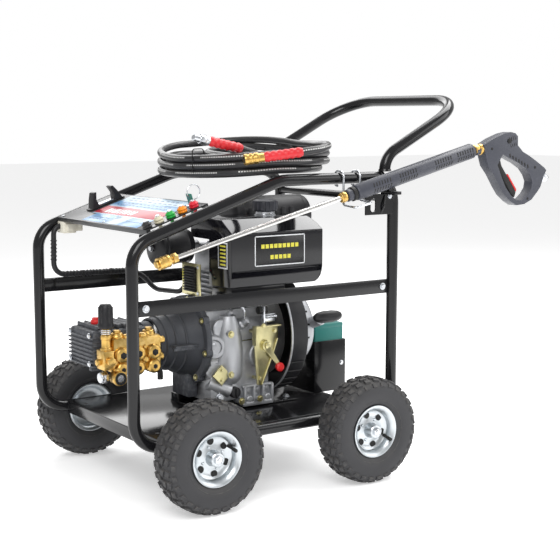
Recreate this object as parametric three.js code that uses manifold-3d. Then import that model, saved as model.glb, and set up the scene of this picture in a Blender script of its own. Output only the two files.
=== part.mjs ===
// Trolley pressure washer: a diesel engine drives a three-piston pump through a bell housing, inside
// a welded tube frame on four pneumatic wheels. The lance rests on the left side of the frame and the
// coiled hose lies on the top rails.
//
// Millimetres. Inside the machine group X runs from the front posts to the push handle, Y from the
// left frame loop to the right one, and Z up from the floor.
import * as THREE from 'three';
import { mergeVertices } from 'three/addons/utils/BufferGeometryUtils.js';
import Module from 'manifold-3d';

const wasm = await Module();
wasm.setup();

// ---- driving dimensions ----
const FRONT_REACH = 610; // from the part's origin forward to the front posts
const TRACK = 495; // between the two frame loops
const LENGTH = 736; // between front and rear posts
const TUBE_R = 14;
const BOTTOM_RAIL_Z = 152;
const TOP_RAIL_Z = 741;
const KNEE_Z = 608; // where the front post turns back into the sloped rail
const SLOPE_END_X = 395; // where the sloped rail meets the level top rail
const RAIL_BEND_R = 65;
const MID_RAIL_Z = 468;
const HANDLE_FOOT_X = 709;
const HANDLE_END = { x: 980, z: 932 };
const HANDLE_KNEE_Z = 791;
const HANDLE_CORNER_R = 120;
const PLATE_TOP = 166;
const WHEEL_R = 130;
const WHEEL_W = 85;
const WHEEL_OUTSET = 66.5; // wheel centre plane outside its frame loop
const AXLE_Z = 130;
const AXLE_R = 8;
const AXLES = { front: 155, rear: 607 };
const CRANK = { y: 248, z: 344 };
const SHROUD_R = 156;
const SHROUD_TOP = 470;
const LANCE_Y = -42;
const LANCE_TIP = { x: 36, z: 569 };
const LANCE_RISE = THREE.MathUtils.degToRad(14.2);
const GAP = 0.5; // clearance between pieces that meet
const SLOPE = Math.atan2(TOP_RAIL_Z - KNEE_Z, SLOPE_END_X);

// ---- finishes ----
const finish = (color, roughness, metalness) =>
  new THREE.MeshStandardMaterial({ color, roughness, metalness });
const FRAME_BLACK = finish(0x0d0e10, 0.3, 0.2);
const TYRE_RUBBER = finish(0x2b2a27, 0.9, 0);
const ZINC = finish(0xb9bec2, 0.35, 0.9);
const YELLOW_ZINC = finish(0xc9b26a, 0.4, 0.8);
const CAST_ALUMINIUM = finish(0x8f949a, 0.55, 0.6);
const GREY_CASTING = finish(0x3a3d42, 0.6, 0.4);
const BLACK_PLASTIC = finish(0x16171a, 0.5, 0);
const TANK_BLACK = finish(0x08080a, 0.15, 0.1);
const BRASS = finish(0xb98d3e, 0.3, 0.9);
const STEEL = finish(0xa5a8ab, 0.3, 0.9);
const BATTERY_TEAL = finish(0x0f6b62, 0.5, 0);
const PANEL_BLUE = finish(0x9fc6de, 0.4, 0);
const GUN_GREY = finish(0x4a4c55, 0.5, 0);
const HOSE_RUBBER = finish(0x17181a, 0.5, 0);
const TIP_COLOURS = { black: 0x1b1b1d, white: 0xd9d6c4, green: 0x1c8a35, orange: 0xe07a10, red: 0xc01822 };

// ---- solids: joining, cutting and moving closed geometries ----
function toSolid(geometry) {
  const plain = geometry.clone();
  plain.deleteAttribute('normal');
  plain.deleteAttribute('uv');
  const merged = mergeVertices(plain, 1e-3);
  const corners = [];
  for (let i = 0; i < merged.index.count; i += 3) {
    const [a, b, c] = [0, 1, 2].map((k) => merged.index.getX(i + k));
    if (a !== b && b !== c && c !== a) corners.push(a, b, c);
  }
  return new wasm.Manifold(new wasm.Mesh({
    numProp: 3,
    vertProperties: new Float32Array(merged.attributes.position.array),
    triVerts: new Uint32Array(corners),
  }));
}

function toGeometry(solid) {
  const mesh = solid.getMesh();
  const geometry = new THREE.BufferGeometry();
  geometry.setAttribute('position', new THREE.BufferAttribute(mesh.vertProperties, 3));
  geometry.setIndex(new THREE.BufferAttribute(mesh.triVerts, 1));
  return geometry;
}

const combine = (step, [first, ...rest]) =>
  toGeometry(rest.reduce((whole, piece) => whole[step](toSolid(piece)), toSolid(first)));
const join = (...pieces) => combine('add', pieces);
const cut = (...pieces) => combine('subtract', pieces);
const common = (...pieces) => combine('intersect', pieces);

// ---- basic shapes ----
function box([x0, x1], [y0, y1], [z0, z1]) {
  return new THREE.BoxGeometry(x1 - x0, y1 - y0, z1 - z0)
    .translate((x0 + x1) / 2, (y0 + y1) / 2, (z0 + z1) / 2);
}

// Turns +Z onto the given direction and moves the origin to the given place.
function place(geometry, at, direction) {
  const turn = new THREE.Quaternion().setFromUnitVectors(
    new THREE.Vector3(0, 0, 1), new THREE.Vector3(...direction).normalize());
  return geometry.applyQuaternion(turn).translate(...at);
}

const X_AXIS = [1, 0, 0];
const Y_AXIS = [0, 1, 0];
const Z_AXIS = [0, 0, 1];

// A turned piece: profile points are [radius, distance along the axis], anticlockwise in section.
function turned(profile, at, direction, sides = 16, startAngle = 0) {
  const outline = profile.map(([radius, along]) => new THREE.Vector2(radius, along));
  const lathe = new THREE.LatheGeometry(outline, sides, startAngle).rotateX(Math.PI / 2);
  return place(lathe, at, direction);
}

function rod(radius, length, at, direction, sides = 12) {
  return turned([[0, 0], [radius, 0], [radius, length], [0, length]], at, direction, sides);
}

// An outline's shape, always anticlockwise, so that its holes are turned the right way too.
function outlineShape(points) {
  const vectors = points.map(([a, b]) => new THREE.Vector2(a, b));
  return new THREE.Shape(THREE.ShapeUtils.isClockWise(vectors) ? vectors.reverse() : vectors);
}

// Flat outlines pushed along an axis; holes are outlines too.
function plateAlongZ(points, [from, to], holes = []) {
  const shape = outlineShape(points);
  shape.holes = holes.map((hole) => new THREE.Path(hole.map(([a, b]) => new THREE.Vector2(a, b))));
  return new THREE.ExtrudeGeometry(shape, { depth: to - from, bevelEnabled: false }).translate(0, 0, from);
}
const plateAlongY = (pointsXZ, [from, to], holes) =>
  plateAlongZ(pointsXZ, [-to, -from], holes).rotateX(Math.PI / 2);
const plateAlongX = (pointsYZ, [from, to], holes) =>
  plateAlongZ(pointsYZ, [from, to], holes).rotateX(Math.PI / 2).rotateZ(Math.PI / 2);

// Points of an arc about a centre, both ends included.
function arc([centreA, centreB], radius, fromDeg, toDeg, steps) {
  return Array.from({ length: steps + 1 }, (_, i) => {
    const angle = THREE.MathUtils.degToRad(fromDeg + ((toDeg - fromDeg) * i) / steps);
    return [centreA + radius * Math.cos(angle), centreB + radius * Math.sin(angle)];
  });
}
const ringOf = (centre, radius, sides) => arc(centre, radius, 0, 360 - 360 / sides, sides - 1);

// A path of straight runs with rounded corners; each corner is [x, y, z, bend radius].
class BentPath extends THREE.Curve {
  constructor(corners, stepDegrees = 20) {
    super();
    this.stops = [];
    corners.forEach(([x, y, z, bend], i) => {
      const corner = new THREE.Vector3(x, y, z);
      if (!bend) return this.stops.push(corner);
      const before = new THREE.Vector3(...corners[i - 1].slice(0, 3)).sub(corner).negate().normalize();
      const after = new THREE.Vector3(...corners[i + 1].slice(0, 3)).sub(corner).normalize();
      const angle = before.angleTo(after);
      const inward = after.clone().addScaledVector(before, -before.dot(after)).normalize();
      const start = corner.clone().addScaledVector(before, -bend * Math.tan(angle / 2));
      const centre = start.clone().addScaledVector(inward, bend);
      const steps = Math.max(2, Math.round(THREE.MathUtils.radToDeg(angle) / stepDegrees));
      for (let k = 0; k <= steps; k++) {
        const turn = (angle * k) / steps;
        this.stops.push(centre.clone()
          .addScaledVector(inward, -bend * Math.cos(turn))
          .addScaledVector(before, bend * Math.sin(turn)));
      }
    });
  }

  getPoint(t) {
    return this.stops[Math.round(t * (this.stops.length - 1))].clone();
  }

  getPointAt(t) {
    return this.getPoint(t);
  }

  getTangentAt(t) {
    const last = this.stops.length - 1;
    const here = Math.round(t * last);
    const ahead = this.stops[Math.min(here + 1, last)].clone().sub(this.stops[Math.min(here, last - 1)]);
    const behind = this.stops[Math.max(here, 1)].clone().sub(this.stops[Math.max(here - 1, 0)]);
    return ahead.normalize().add(behind.normalize()).normalize();
  }
}

function tube(corners, radius, sides = 12, stepDegrees = 20) {
  const path = new BentPath(corners, stepDegrees);
  return new THREE.ExtrudeGeometry(outlineShape(ringOf([0, 0], radius, sides)),
    { steps: path.stops.length - 1, extrudePath: path });
}

const machine = new THREE.Group();
machine.position.set(-FRONT_REACH, -TRACK / 2, 0);

function addPart(name, geometry, material) {
  const mesh = new THREE.Mesh(geometry, material);
  mesh.name = name;
  machine.add(mesh);
  return mesh;
}

// ---- frame ----
function frameLoop(y, inward) {
  const middle = LENGTH / 2;
  const lap = 0.5;
  const front = tube([
    [middle, y, BOTTOM_RAIL_Z, 0],
    [0, y, BOTTOM_RAIL_Z, RAIL_BEND_R],
    [0, y, KNEE_Z, RAIL_BEND_R],
    [SLOPE_END_X, y, TOP_RAIL_Z, HANDLE_CORNER_R],
    [560, y, TOP_RAIL_Z, 0],
  ], TUBE_R);
  const rear = tube([
    [560 - lap, y, TOP_RAIL_Z, 0],
    [LENGTH, y, TOP_RAIL_Z, RAIL_BEND_R],
    [LENGTH, y, BOTTOM_RAIL_Z, RAIL_BEND_R],
    [middle - lap, y, BOTTOM_RAIL_Z, 0],
  ], TUBE_R);
  const tabY = [y + inward * 3.2, y + inward * 7.2].sort((a, b) => a - b);
  const tabs = [[8, 42], [LENGTH - 42, LENGTH - 8]].map((x) =>
    box(x, tabY, [MID_RAIL_Z - 16, MID_RAIL_Z + 16]));
  return join(front, rear, ...tabs);
}

// The slotted plate on the left rear post, with the cradle that carries the lance's grip.
function lanceBracket() {
  const slot = [...arc([662, 664], 7, 180, 360, 4), ...arc([668, 682], 7, 0, 180, 4)];
  const plate = plateAlongY(
    [[640, 649], [729, 649], [729, 700], [700, 712], [652, 694]], [-12, -8], [slot]);
  const shelf = plateAlongY([[690, 700], [712, 705.6], [712, 715.6], [690, 710]], [LANCE_Y - 20, -8]);
  return join(plate, shelf);
}

addPart('frame_loop_left', join(frameLoop(0, 1), lanceBracket()), FRAME_BLACK);
addPart('frame_loop_right', frameLoop(TRACK, -1), FRAME_BLACK);
for (const [side, y] of [['left', 0], ['right', TRACK]]) {
  addPart(`mid_rail_${side}`, box([15, LENGTH - 15], [y - 2.5, y + 2.5], [MID_RAIL_Z - 17.5, MID_RAIL_Z + 17.5]),
    FRAME_BLACK);
}
addPart('rear_cross_tube', rod(10, TRACK - 2 * TUBE_R - 1, [LENGTH, TUBE_R + GAP, 686], Y_AXIS), FRAME_BLACK);

const HANDLE_FOOT_Z = TOP_RAIL_Z + TUBE_R + GAP;
addPart('handle_bar', tube([
  [HANDLE_FOOT_X, 0, HANDLE_FOOT_Z, 0],
  [HANDLE_FOOT_X, 0, HANDLE_KNEE_Z, 56],
  [HANDLE_END.x, 0, HANDLE_END.z, HANDLE_CORNER_R],
  [HANDLE_END.x, TRACK, HANDLE_END.z, HANDLE_CORNER_R],
  [HANDLE_FOOT_X, TRACK, HANDLE_KNEE_Z, 56],
  [HANDLE_FOOT_X, TRACK, HANDLE_FOOT_Z, 0],
], TUBE_R), FRAME_BLACK);

function basePlate() {
  const sheet = box([65, 671], [10.5, TRACK - 10.5], [PLATE_TOP - 4, PLATE_TOP]);
  const aprons = [[65, 69], [667, 671]].map((x) => box(x, [14.6, TRACK - 14.6], [PLATE_TOP - 30, PLATE_TOP - 2]));
  const beams = Object.values(AXLES).map((x) => box([x - 15, x + 15], [15, TRACK - 15], [115, PLATE_TOP - 2]));
  const bores = Object.values(AXLES).map((x) => rod(AXLE_R + 0.6, TRACK, [x, 0, AXLE_Z], Y_AXIS));
  return cut(join(sheet, ...aprons, ...beams), ...bores);
}
addPart('base_plate', basePlate(), FRAME_BLACK);

// ---- wheels and axles ----
const AXLE_END = 112; // outside each frame loop
for (const [end, x] of Object.entries(AXLES)) {
  const reach = TRACK + 2 * AXLE_END;
  addPart(`axle_${end}`, turned([
    [0, 0], [12, 0], [12, 8], [AXLE_R, 8], [AXLE_R, reach - 8], [12, reach - 8], [12, reach], [0, reach],
  ], [x, -AXLE_END, AXLE_Z], Y_AXIS, 12), ZINC);
}

const TYRE_SIDES = 20; // flats down, so that the tyre stands on a face
const TYRE_OUTER = WHEEL_R / Math.cos(Math.PI / TYRE_SIDES);
const HALF_W = WHEEL_W / 2;
const TYRE_SECTION = [
  [57, -30.5], [66, -30.5], [80, -HALF_W], [110, -HALF_W], [TYRE_OUTER, -30],
  [TYRE_OUTER, 30], [110, HALF_W], [80, HALF_W], [66, 30.5], [57, 30.5], [57, -30.5],
];
const RIM_SECTION = [
  [9.5, -37], [19, -37], [19, -4], [50, -4], [50, -34], [64, -34], [64, -31], [55, -31],
  [55, 31], [64, 31], [64, 34], [50, 34], [50, 4], [19, 4], [19, 37], [9.5, 37], [9.5, -37],
];
for (const [end, x] of Object.entries(AXLES)) {
  for (const [side, y] of [['left', -WHEEL_OUTSET], ['right', TRACK + WHEEL_OUTSET]]) {
    const centre = [x, y, AXLE_Z];
    addPart(`tyre_${end}_${side}`,
      turned(TYRE_SECTION, centre, Y_AXIS, TYRE_SIDES, Math.PI / TYRE_SIDES), TYRE_RUBBER);
    addPart(`rim_${end}_${side}`, turned(RIM_SECTION, centre, Y_AXIS, 12), ZINC);
  }
}

// ---- engine ----
const crankAt = (x) => [x, CRANK.y, CRANK.z];

addPart('engine_mount', join(
  box([284, 560], [160, 336], [PLATE_TOP + GAP, PLATE_TOP + 5]),
  box([284, 380], [165, 200], [PLATE_TOP + 4, 190]),
  box([284, 380], [296, 331], [PLATE_TOP + 4, 190]),
), FRAME_BLACK);

function crankcase() {
  const drum = rod(96, 178, [292, CRANK.y, 322], X_AXIS, 20);
  const block = box([296, 468], [154, 342], [190.5, 322]);
  const sump = box([384, 476], [158, 338], [PLATE_TOP + 5.5, 213]);
  const deck = box([300, 465], [182, 314], [322, 416]);
  const fillerNeck = rod(18, 40, [357, 151, 214], Y_AXIS, 10);
  return cut(join(drum, block, sump, deck, fillerNeck), rod(34, 300, crankAt(250), X_AXIS));
}
addPart('crankcase', crankcase(), CAST_ALUMINIUM);

const FIN_LEVELS = [424, 436, 448, 460, 472, 484, 496];
addPart('cylinder_barrel', join(
  box([350, 428], [222, 302], [418.5, 503]),
  ...FIN_LEVELS.map((z) => box([338, 440], [212, 312], [z, z + 4])),
), CAST_ALUMINIUM);
addPart('rocker_cover', plateAlongX(
  [[216, 503.5], [308, 503.5], [308, 560], [296, 575], [228, 575], [216, 560]], [342, 436]), CAST_ALUMINIUM);

// A disc about the crank axis, cut flat above to pass under the tank.
function flatToppedDisc(radius, top) {
  const rise = THREE.MathUtils.radToDeg(Math.asin((top - CRANK.z) / radius));
  return arc([CRANK.y, CRANK.z], radius, 180 - rise, 360 + rise, 20);
}
addPart('fan_shroud', cut(
  plateAlongX(flatToppedDisc(SHROUD_R, SHROUD_TOP), [494, 545]),
  plateAlongX(flatToppedDisc(SHROUD_R - 5, SHROUD_TOP - 4), [490, 541]),
  rod(88, 20, crankAt(535), X_AXIS, 20),
), BLACK_PLASTIC);

const PULL = [0, -0.94, 0.342];
const GRIP_AT = [604, 92, 388];
const alongPull = (distance) => GRIP_AT.map((value, i) => value + PULL[i] * distance);
addPart('recoil_cover', join(
  turned([
    [95, 545.5], [101, 545.5], [99, 600], [78, 624], [0, 628], [0, 622], [75, 618], [94, 597], [95, 545.5],
  ], [0, CRANK.y, CRANK.z], X_AXIS, 16),
  rod(15, 56, alongPull(-86), PULL),
), ZINC);
addPart('recoil_handle', join(
  rod(11, 84, [GRIP_AT[0] - 42, GRIP_AT[1], GRIP_AT[2]], X_AXIS),
  rod(9, 29, alongPull(-29), PULL),
), BLACK_PLASTIC);

// Crankshaft with the flywheel at the fan end and the coupling half in the bell housing.
addPart('crankshaft', turned([
  [0, 182], [14, 182], [14, 196], [48, 196], [48, 240], [18, 240], [18, 500], [116, 500], [116, 532],
  [60, 532], [60, 590], [0, 590],
], [0, CRANK.y, CRANK.z], X_AXIS, 16), STEEL);

function fuelTank() {
  const side = plateAlongX([
    [108, 478], [205, 475], [205, 590], [292, 590], [292, 632], [282, 642], [150, 642], [100, 610], [100, 518],
  ], [322, 594]);
  const outline = plateAlongY([
    [322, 470], ...arc([564, 505], 30, 270, 360, 4), ...arc([554, 612], 40, 0, 75, 4), [540, 670], [322, 670],
  ], [90, 310]);
  return join(common(side, outline), rod(22, 14, [486, 200, 640], Z_AXIS));
}
addPart('fuel_tank', fuelTank(), TANK_BLACK);
addPart('fuel_cap', rod(31, 28, [486, 200, 654.5], Z_AXIS, 16), BLACK_PLASTIC);
addPart('air_filter', turned([
  [0, 214], [10, 214], [10, 220], [40, 222], [45, 228], [45, 242], [42, 244], [42, 318], [0, 318],
], [0, 300, 567], X_AXIS, 16), BLACK_PLASTIC);
addPart('muffler', join(
  turned([[0, 466], [44, 466], [55, 480], [55, 698], [44, 712], [0, 712]], [0, 352, 627], X_AXIS, 14),
  tube([[484, 352, 590, 0], [484, 352, 540, 16], [442, 352, 540, 0]], 15, 10),
), BLACK_PLASTIC);

addPart('governor_plate', join(
  plateAlongY([[398, 372], [410, 230], [424, 227], [456, 300], [472, 340], [472, 378], [398, 378]], [122, 126]),
  ...[[410, 362], [462, 362], [418, 244]].map(([x, z]) => rod(5, 28, [x, 125, z], Y_AXIS, 8)),
), YELLOW_ZINC);
const LEVER_PIVOT = [435, 327];
addPart('speed_lever', join(
  rod(14, 8, [LEVER_PIVOT[0], 113, LEVER_PIVOT[1]], Y_AXIS),
  plateAlongY([[430, 316], [446, 322], [474, 280], [466, 274]], [116, 120]),
  turned([[0, 0], [7, 0], [10, 4], [10, 9], [7, 13], [0, 13]], [472, 107.5, 270], Y_AXIS, 10),
), ZINC);
addPart('oil_dipstick', join(
  rod(14, 16, [357, 134.5, 214], Y_AXIS, 12),
  box([354, 360], [130, 136], [204, 224]),
), BLACK_PLASTIC);

addPart('starter_motor', turned([
  [0, 300], [30, 300], [30, 400], [16, 404], [16, 440], [0, 440],
], [0, 386, 268], X_AXIS, 12), GREY_CASTING);
addPart('voltage_regulator', join(
  box([284, 288], [186, 270], [452, 532]),
  box([276, 285], [202, 254], [464, 522]),
), ZINC);

addPart('wiring_loom', tube([
  [66, 472, 626, 0], [32, 472, 610, 20], [30, 472, 496, 30], [270, 472, 492, 60], [300, 440, 442, 40],
  [318, 330, 446, 40], [320, 296, 496, 20], [309, 262, 500, 0],
], 7, 8, 25), BLACK_PLASTIC);

// ---- battery ----
const TRAY = { x: [640, 742], y: [196, 336], z: [PLATE_TOP + GAP, 303] };
addPart('battery_box', cut(
  box(TRAY.x, TRAY.y, TRAY.z),
  box([TRAY.x[0] + 3, TRAY.x[1] - 3], [TRAY.y[0] + 3, TRAY.y[1] - 3], [TRAY.z[0] + 3, 310]),
), FRAME_BLACK);
addPart('battery', box([645, 737], [201, 331], [170.5, 347]), BATTERY_TEAL);

// ---- drive and pump ----
function bellHousing() {
  const body = turned([
    [56, 176], [62, 176], [64, 205], [74, 235], [92, 270], [92, 276], [110, 276], [110, 290.5], [80, 290.5],
    [56, 240], [56, 176],
  ], [0, CRANK.y, CRANK.z - 4], X_AXIS, 18);
  const foot = box([262, 290], [208, 288], [200, 262]);
  return join(body, foot);
}
addPart('bell_housing', bellHousing(), GREY_CASTING);

const COOLING_FINS = [18, 36, 54, 72, 90, 108, 126];
addPart('pump_crankcase', join(
  box([2, 150], [204, 326], [302, 392]),
  ...COOLING_FINS.map((x) => box([x, x + 5], [204, 330], [299, 399])),
  rod(43, 26, [149, CRANK.y, 352], X_AXIS, 16),
), GREY_CASTING);

const CYLINDERS = [52, 94, 136]; // where the three plungers enter the manifold
addPart('pump_manifold', join(
  box([32, 160], [152, 203.4], [292, 384]),
  ...CYLINDERS.flatMap((x) => [
    rod(15, 12, [x, 186, 380], Z_AXIS, 8),
    rod(15, 12, [x, 142, 334], Y_AXIS, 8),
    rod(15, 12, [x, 142, 300], Y_AXIS, 8),
  ]),
  rod(18, 28, [41, 139, 286], Y_AXIS, 10),
), BRASS);
addPart('unloader_valve', join(
  box([4, 31.5], [150, 190], [306, 352]),
  rod(11, 52, [20, 170, 350], Z_AXIS, 10),
), BRASS);
addPart('pressure_knob', turned([
  [0, 402.5], [19, 402.5], [19, 412], [16, 418], [16, 459], [0, 459],
], [20, 170, 0], Z_AXIS, 12), BLACK_PLASTIC);

// ---- control panel on the sloped rails ----
const PANEL_AT = new THREE.Vector3(64, 0, 646);
const PANEL_TILT = new THREE.Euler(0, -SLOPE, 0);
const UP_SLOPE = 150; // length of the panel along the slope
function onPanel(geometry) {
  return geometry.applyQuaternion(new THREE.Quaternion().setFromEuler(PANEL_TILT))
    .translate(...PANEL_AT.toArray());
}
const panelPoint = (along, y, above) =>
  new THREE.Vector3(along, y, above).applyEuler(PANEL_TILT).add(PANEL_AT).toArray();
const PANEL_NORMAL = new THREE.Vector3(0, 0, 1).applyEuler(PANEL_TILT).toArray();

const TIP_PITCH = 32;
const TIP_START = -6;
const TIP_Y = 33;
const KEY_AT = { along: 132, y: 60 };
const TIP_HOLE_R = 5.6;
function controlPanel() {
  const sheet = box([-19, UP_SLOPE], [18, TRACK - 18], [-3, 0]);
  const folds = [[-19, -16], [UP_SLOPE - 3, UP_SLOPE]].map((x) => box(x, [18, TRACK - 18], [-12, -1]));
  const sockets = Object.keys(TIP_COLOURS).map((_, i) =>
    rod(TIP_HOLE_R, 10, [TIP_START + i * TIP_PITCH, TIP_Y, -6], Z_AXIS, 8));
  const keyHole = rod(9, 10, [KEY_AT.along, KEY_AT.y, -6], Z_AXIS, 10);
  return onPanel(cut(join(sheet, ...folds), ...sockets, keyHole));
}
addPart('control_panel', controlPanel(), PANEL_BLUE);
Object.entries(TIP_COLOURS).forEach(([name, colour], i) => {
  addPart(`nozzle_tip_${name}`, turned([
    [0, -22], [4.6, -22], [4.6, 0.5], [11, 0.5], [11, 10], [7, 14], [7, 20], [0, 20],
  ], panelPoint(TIP_START + i * TIP_PITCH, TIP_Y, 0), PANEL_NORMAL, 8), finish(colour, 0.45, 0));
});
addPart('start_key', onPanel(join(
  rod(7.5, 26, [KEY_AT.along, KEY_AT.y, -20], Z_AXIS, 10),
  box([KEY_AT.along - 2, KEY_AT.along + 2], [KEY_AT.y - 11, KEY_AT.y + 11], [4, 28]),
)), finish(0x14514a, 0.4, 0));

// Two sprung jaws on one strip, facing each other along the panel.
const CLIP_Y = [390, 416];
addPart('lance_clip', onPanel(join(
  box([34, 134], CLIP_Y, [0.5, 4]),
  plateAlongY([[40, 3], [62, 3], [58, 22], [64, 40], [56, 40], [48, 24]], CLIP_Y),
  plateAlongY([[128, 3], [120, 24], [112, 40], [104, 40], [110, 22], [106, 3]], CLIP_Y),
)), BLACK_PLASTIC);

// ---- lance and gun, laid along the sloped line of the left side ----
const LANCE_DIRECTION = [Math.cos(LANCE_RISE), 0, Math.sin(LANCE_RISE)];
const lanceGroup = new THREE.Group();
lanceGroup.position.set(LANCE_TIP.x, LANCE_Y, LANCE_TIP.z);
lanceGroup.rotation.y = -LANCE_RISE;
machine.add(lanceGroup);

function addLancePart(name, geometry, material) {
  lanceGroup.add(addPart(name, geometry, material));
}

const GUN_START = 990; // along the lance from its tip
addLancePart('nozzle_coupler', turned([
  [9, 6], [14, 6], [14, 34], [9, 34], [9, 6],
], [0, 0, 0], X_AXIS, 12), BRASS);
addLancePart('lance_tube', turned([
  [0, 0], [8, 0], [8, 42], [12.5, 42], [12.5, 54], [6, 56], [6, 520], [12, 522], [12, 542], [15, 543],
  [15, 564], [0, 564],
], [0, 0, 0], X_AXIS, 12), STEEL);
addLancePart('lance_grip', turned([
  [0, 564.5], [18, 564.5], [19.5, 568], [19.5, 960], [17, 963], [0, 963],
], [0, 0, 0], X_AXIS, 14), GUN_GREY);

// The gun's outline in the lance's own plane: barrel, arched top, handle, and the guard round the trigger.
function gunBody() {
  const outer = [
    [-5, 7], [31, 14], [71, 17], [95, 15], [110, 8], [117, -2], [112, -25], [126, -46], [146, -62],
    [171, -85], [194, -108], [200, -117], [191, -125], [169, -154], [158, -162], [130, -178], [101, -182],
    [73, -177], [56, -162], [37, -139], [26, -115], [11, -76], [-3, -49], [-5, -26],
  ];
  const finger = [
    [30, -56], [54, -34], [75, -50], [103, -70], [127, -92], [139, -114], [143, -132], [136, -148],
    [120, -160], [96, -170], [76, -164], [60, -146], [44, -118],
  ];
  const body = plateAlongY(outer.map(([a, b]) => [a + GUN_START, b]), [-15, 15],
    [finger.map(([a, b]) => [a + GUN_START, b])]);
  const slot = plateAlongY(
    [[22, -62], [36, -20], [60, -20], [60, -60], [34, -62]].map(([a, b]) => [a + GUN_START, b]), [-7, 7]);
  const inlet = rod(10, 30, [GUN_START + 188, 0, -120], [0.62, 0, -0.78], 10);
  const outlet = rod(13, 26, [GUN_START - 26.5, 0, -4], X_AXIS, 6);
  return join(cut(body, slot), inlet, outlet);
}
addLancePart('gun_body', gunBody(), GUN_GREY);

// The trigger hangs from a pin at the top of the guard and swings back towards the handle.
addLancePart('trigger', plateAlongY([
  [37, -25], [50, -25], [53, -64], [66, -94], [79, -124], [88, -146], [80, -158], [71, -150], [50, -100],
  [38, -60],
].map(([a, b]) => [a + GUN_START, b]), [-5.5, 5.5]), BLACK_PLASTIC);
addLancePart('trigger_lock', plateAlongY([
  [68, -92], [73, -92], [94, -140], [91, -146],
].map(([a, b]) => [a + GUN_START, b]), [-3, 3]), finish(0xc01822, 0.4, 0));

addPart('lance_hook', tube([
  [567, 6, 723.4, 0], [567, 17.6, 723.4, 10], [567, 17.6, 758.6, 14], [567, -17.6, 758.6, 14],
  [567, -17.6, 678, 8], [567, -66, 674, 8], [617, -66, 684, 8], [617, -17.6, 688, 8],
  [617, -17.6, 758.6, 14], [617, 17.6, 758.6, 14], [617, 17.6, 723.4, 10], [617, 6, 723.4, 0],
], 2.8, 6, 45), ZINC);

// ---- hose: an oval coil on the top rails, with its two end fittings lying on it ----
const COIL = { x: 450, y: 248, halfX: 201, halfY: 250, wide: 40, z: [755.5, 806.5] };
function hoseCoil() {
  const oval = (halfX, halfY) => Array.from({ length: 32 }, (_, i) => {
    const angle = (i / 32) * 2 * Math.PI;
    return [COIL.x + halfX * Math.cos(angle), COIL.y + halfY * Math.sin(angle)];
  });
  return plateAlongZ(oval(COIL.halfX, COIL.halfY), COIL.z,
    [oval(COIL.halfX - COIL.wide, COIL.halfY - COIL.wide)]);
}
addPart('hose_coil', hoseCoil(), HOSE_RUBBER);
addPart('hose_end_brass', turned([
  [0, 0], [13, 0], [13, 46], [10, 48], [10, 140], [0, 140],
], [309, 24, 790], [0.938, -0.322, 0.123], 10), BRASS);
addPart('hose_end_chrome', turned([
  [0, 0], [8, 0], [11, 18], [11, 44], [10, 46], [10, 130], [0, 130],
], [217, 100, 842], [0.97, 0.03, -0.2], 10), STEEL);

export default machine;
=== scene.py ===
"""Looks of the trolley pressure washer: every visible piece, its finish, the stage and the lights."""
import math
import random

import bpy
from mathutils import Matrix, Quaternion, Vector


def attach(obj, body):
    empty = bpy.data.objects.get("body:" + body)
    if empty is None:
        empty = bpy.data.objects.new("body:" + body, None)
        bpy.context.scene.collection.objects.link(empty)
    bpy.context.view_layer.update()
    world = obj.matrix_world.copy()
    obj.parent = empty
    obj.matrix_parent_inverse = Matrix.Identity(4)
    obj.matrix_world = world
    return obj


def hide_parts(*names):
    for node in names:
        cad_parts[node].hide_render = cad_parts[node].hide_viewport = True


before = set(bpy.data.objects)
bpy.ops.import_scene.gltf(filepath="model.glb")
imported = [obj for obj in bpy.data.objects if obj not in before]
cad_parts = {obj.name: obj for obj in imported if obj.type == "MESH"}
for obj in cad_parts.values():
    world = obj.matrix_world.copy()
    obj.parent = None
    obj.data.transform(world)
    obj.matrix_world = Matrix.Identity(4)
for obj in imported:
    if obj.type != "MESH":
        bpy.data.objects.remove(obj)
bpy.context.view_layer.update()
random.seed(7)

MM = 0.001
WELD = 0.00001  # metres between points that are joined
TUBE_WELD = 0.0002  # the same where a spun tube meets its own start
FRONT_REACH = 610  # millimetres from the origin forward to the front posts
HALF_TRACK = 247.5
TRACK = 495
LENGTH = 736
TUBE_R = 14
SLOPE_END_X = 395  # where the top rails level out
CRANK_Y, CRANK_Z = 248, 344
CRANK_LINE = (0, CRANK_Y, CRANK_Z)
X, Y, Z = Vector((1, 0, 0)), Vector((0, 1, 0)), Vector((0, 0, 1))


def at(x, y, z):
    """A machine point in millimetres, from the left front post on the floor, in the row frame."""
    return Vector(((x - FRONT_REACH) * MM, (y - HALF_TRACK) * MM, z * MM))


# ---- camera ----
CAMERA_AT = (-1287.1, -2426.2, 888.6)
CAMERA_YAW, CAMERA_PITCH = math.radians(34.3), math.radians(7.38)
LENS_MM, SENSOR_MM = 80.94, 36


def place_camera():
    data = bpy.data.cameras.new("camera")
    camera = bpy.data.objects.new("camera", data)
    bpy.context.scene.collection.objects.link(camera)
    camera.location = at(*CAMERA_AT)
    level = math.cos(CAMERA_PITCH)
    look = Vector((math.sin(CAMERA_YAW) * level, math.cos(CAMERA_YAW) * level, -math.sin(CAMERA_PITCH)))
    camera.rotation_euler = look.to_track_quat("-Z", "Y").to_euler()
    data.lens = LENS_MM
    data.sensor_width = SENSOR_MM
    data.shift_x = 0.016
    data.dof.use_dof = False
    bpy.context.scene.camera = camera


place_camera()


# ---- node groups shared by the finishes ----
def group_shell(name, inputs, outputs):
    group = bpy.data.node_groups.new(name, "ShaderNodeTree")
    for label, kind, value in inputs:
        socket = group.interface.new_socket(label, in_out="INPUT", socket_type=kind)
        socket.default_value = value
    for label, kind in outputs:
        group.interface.new_socket(label, in_out="OUTPUT", socket_type=kind)
    return group, group.nodes.new("NodeGroupInput"), group.nodes.new("NodeGroupOutput")


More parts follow.
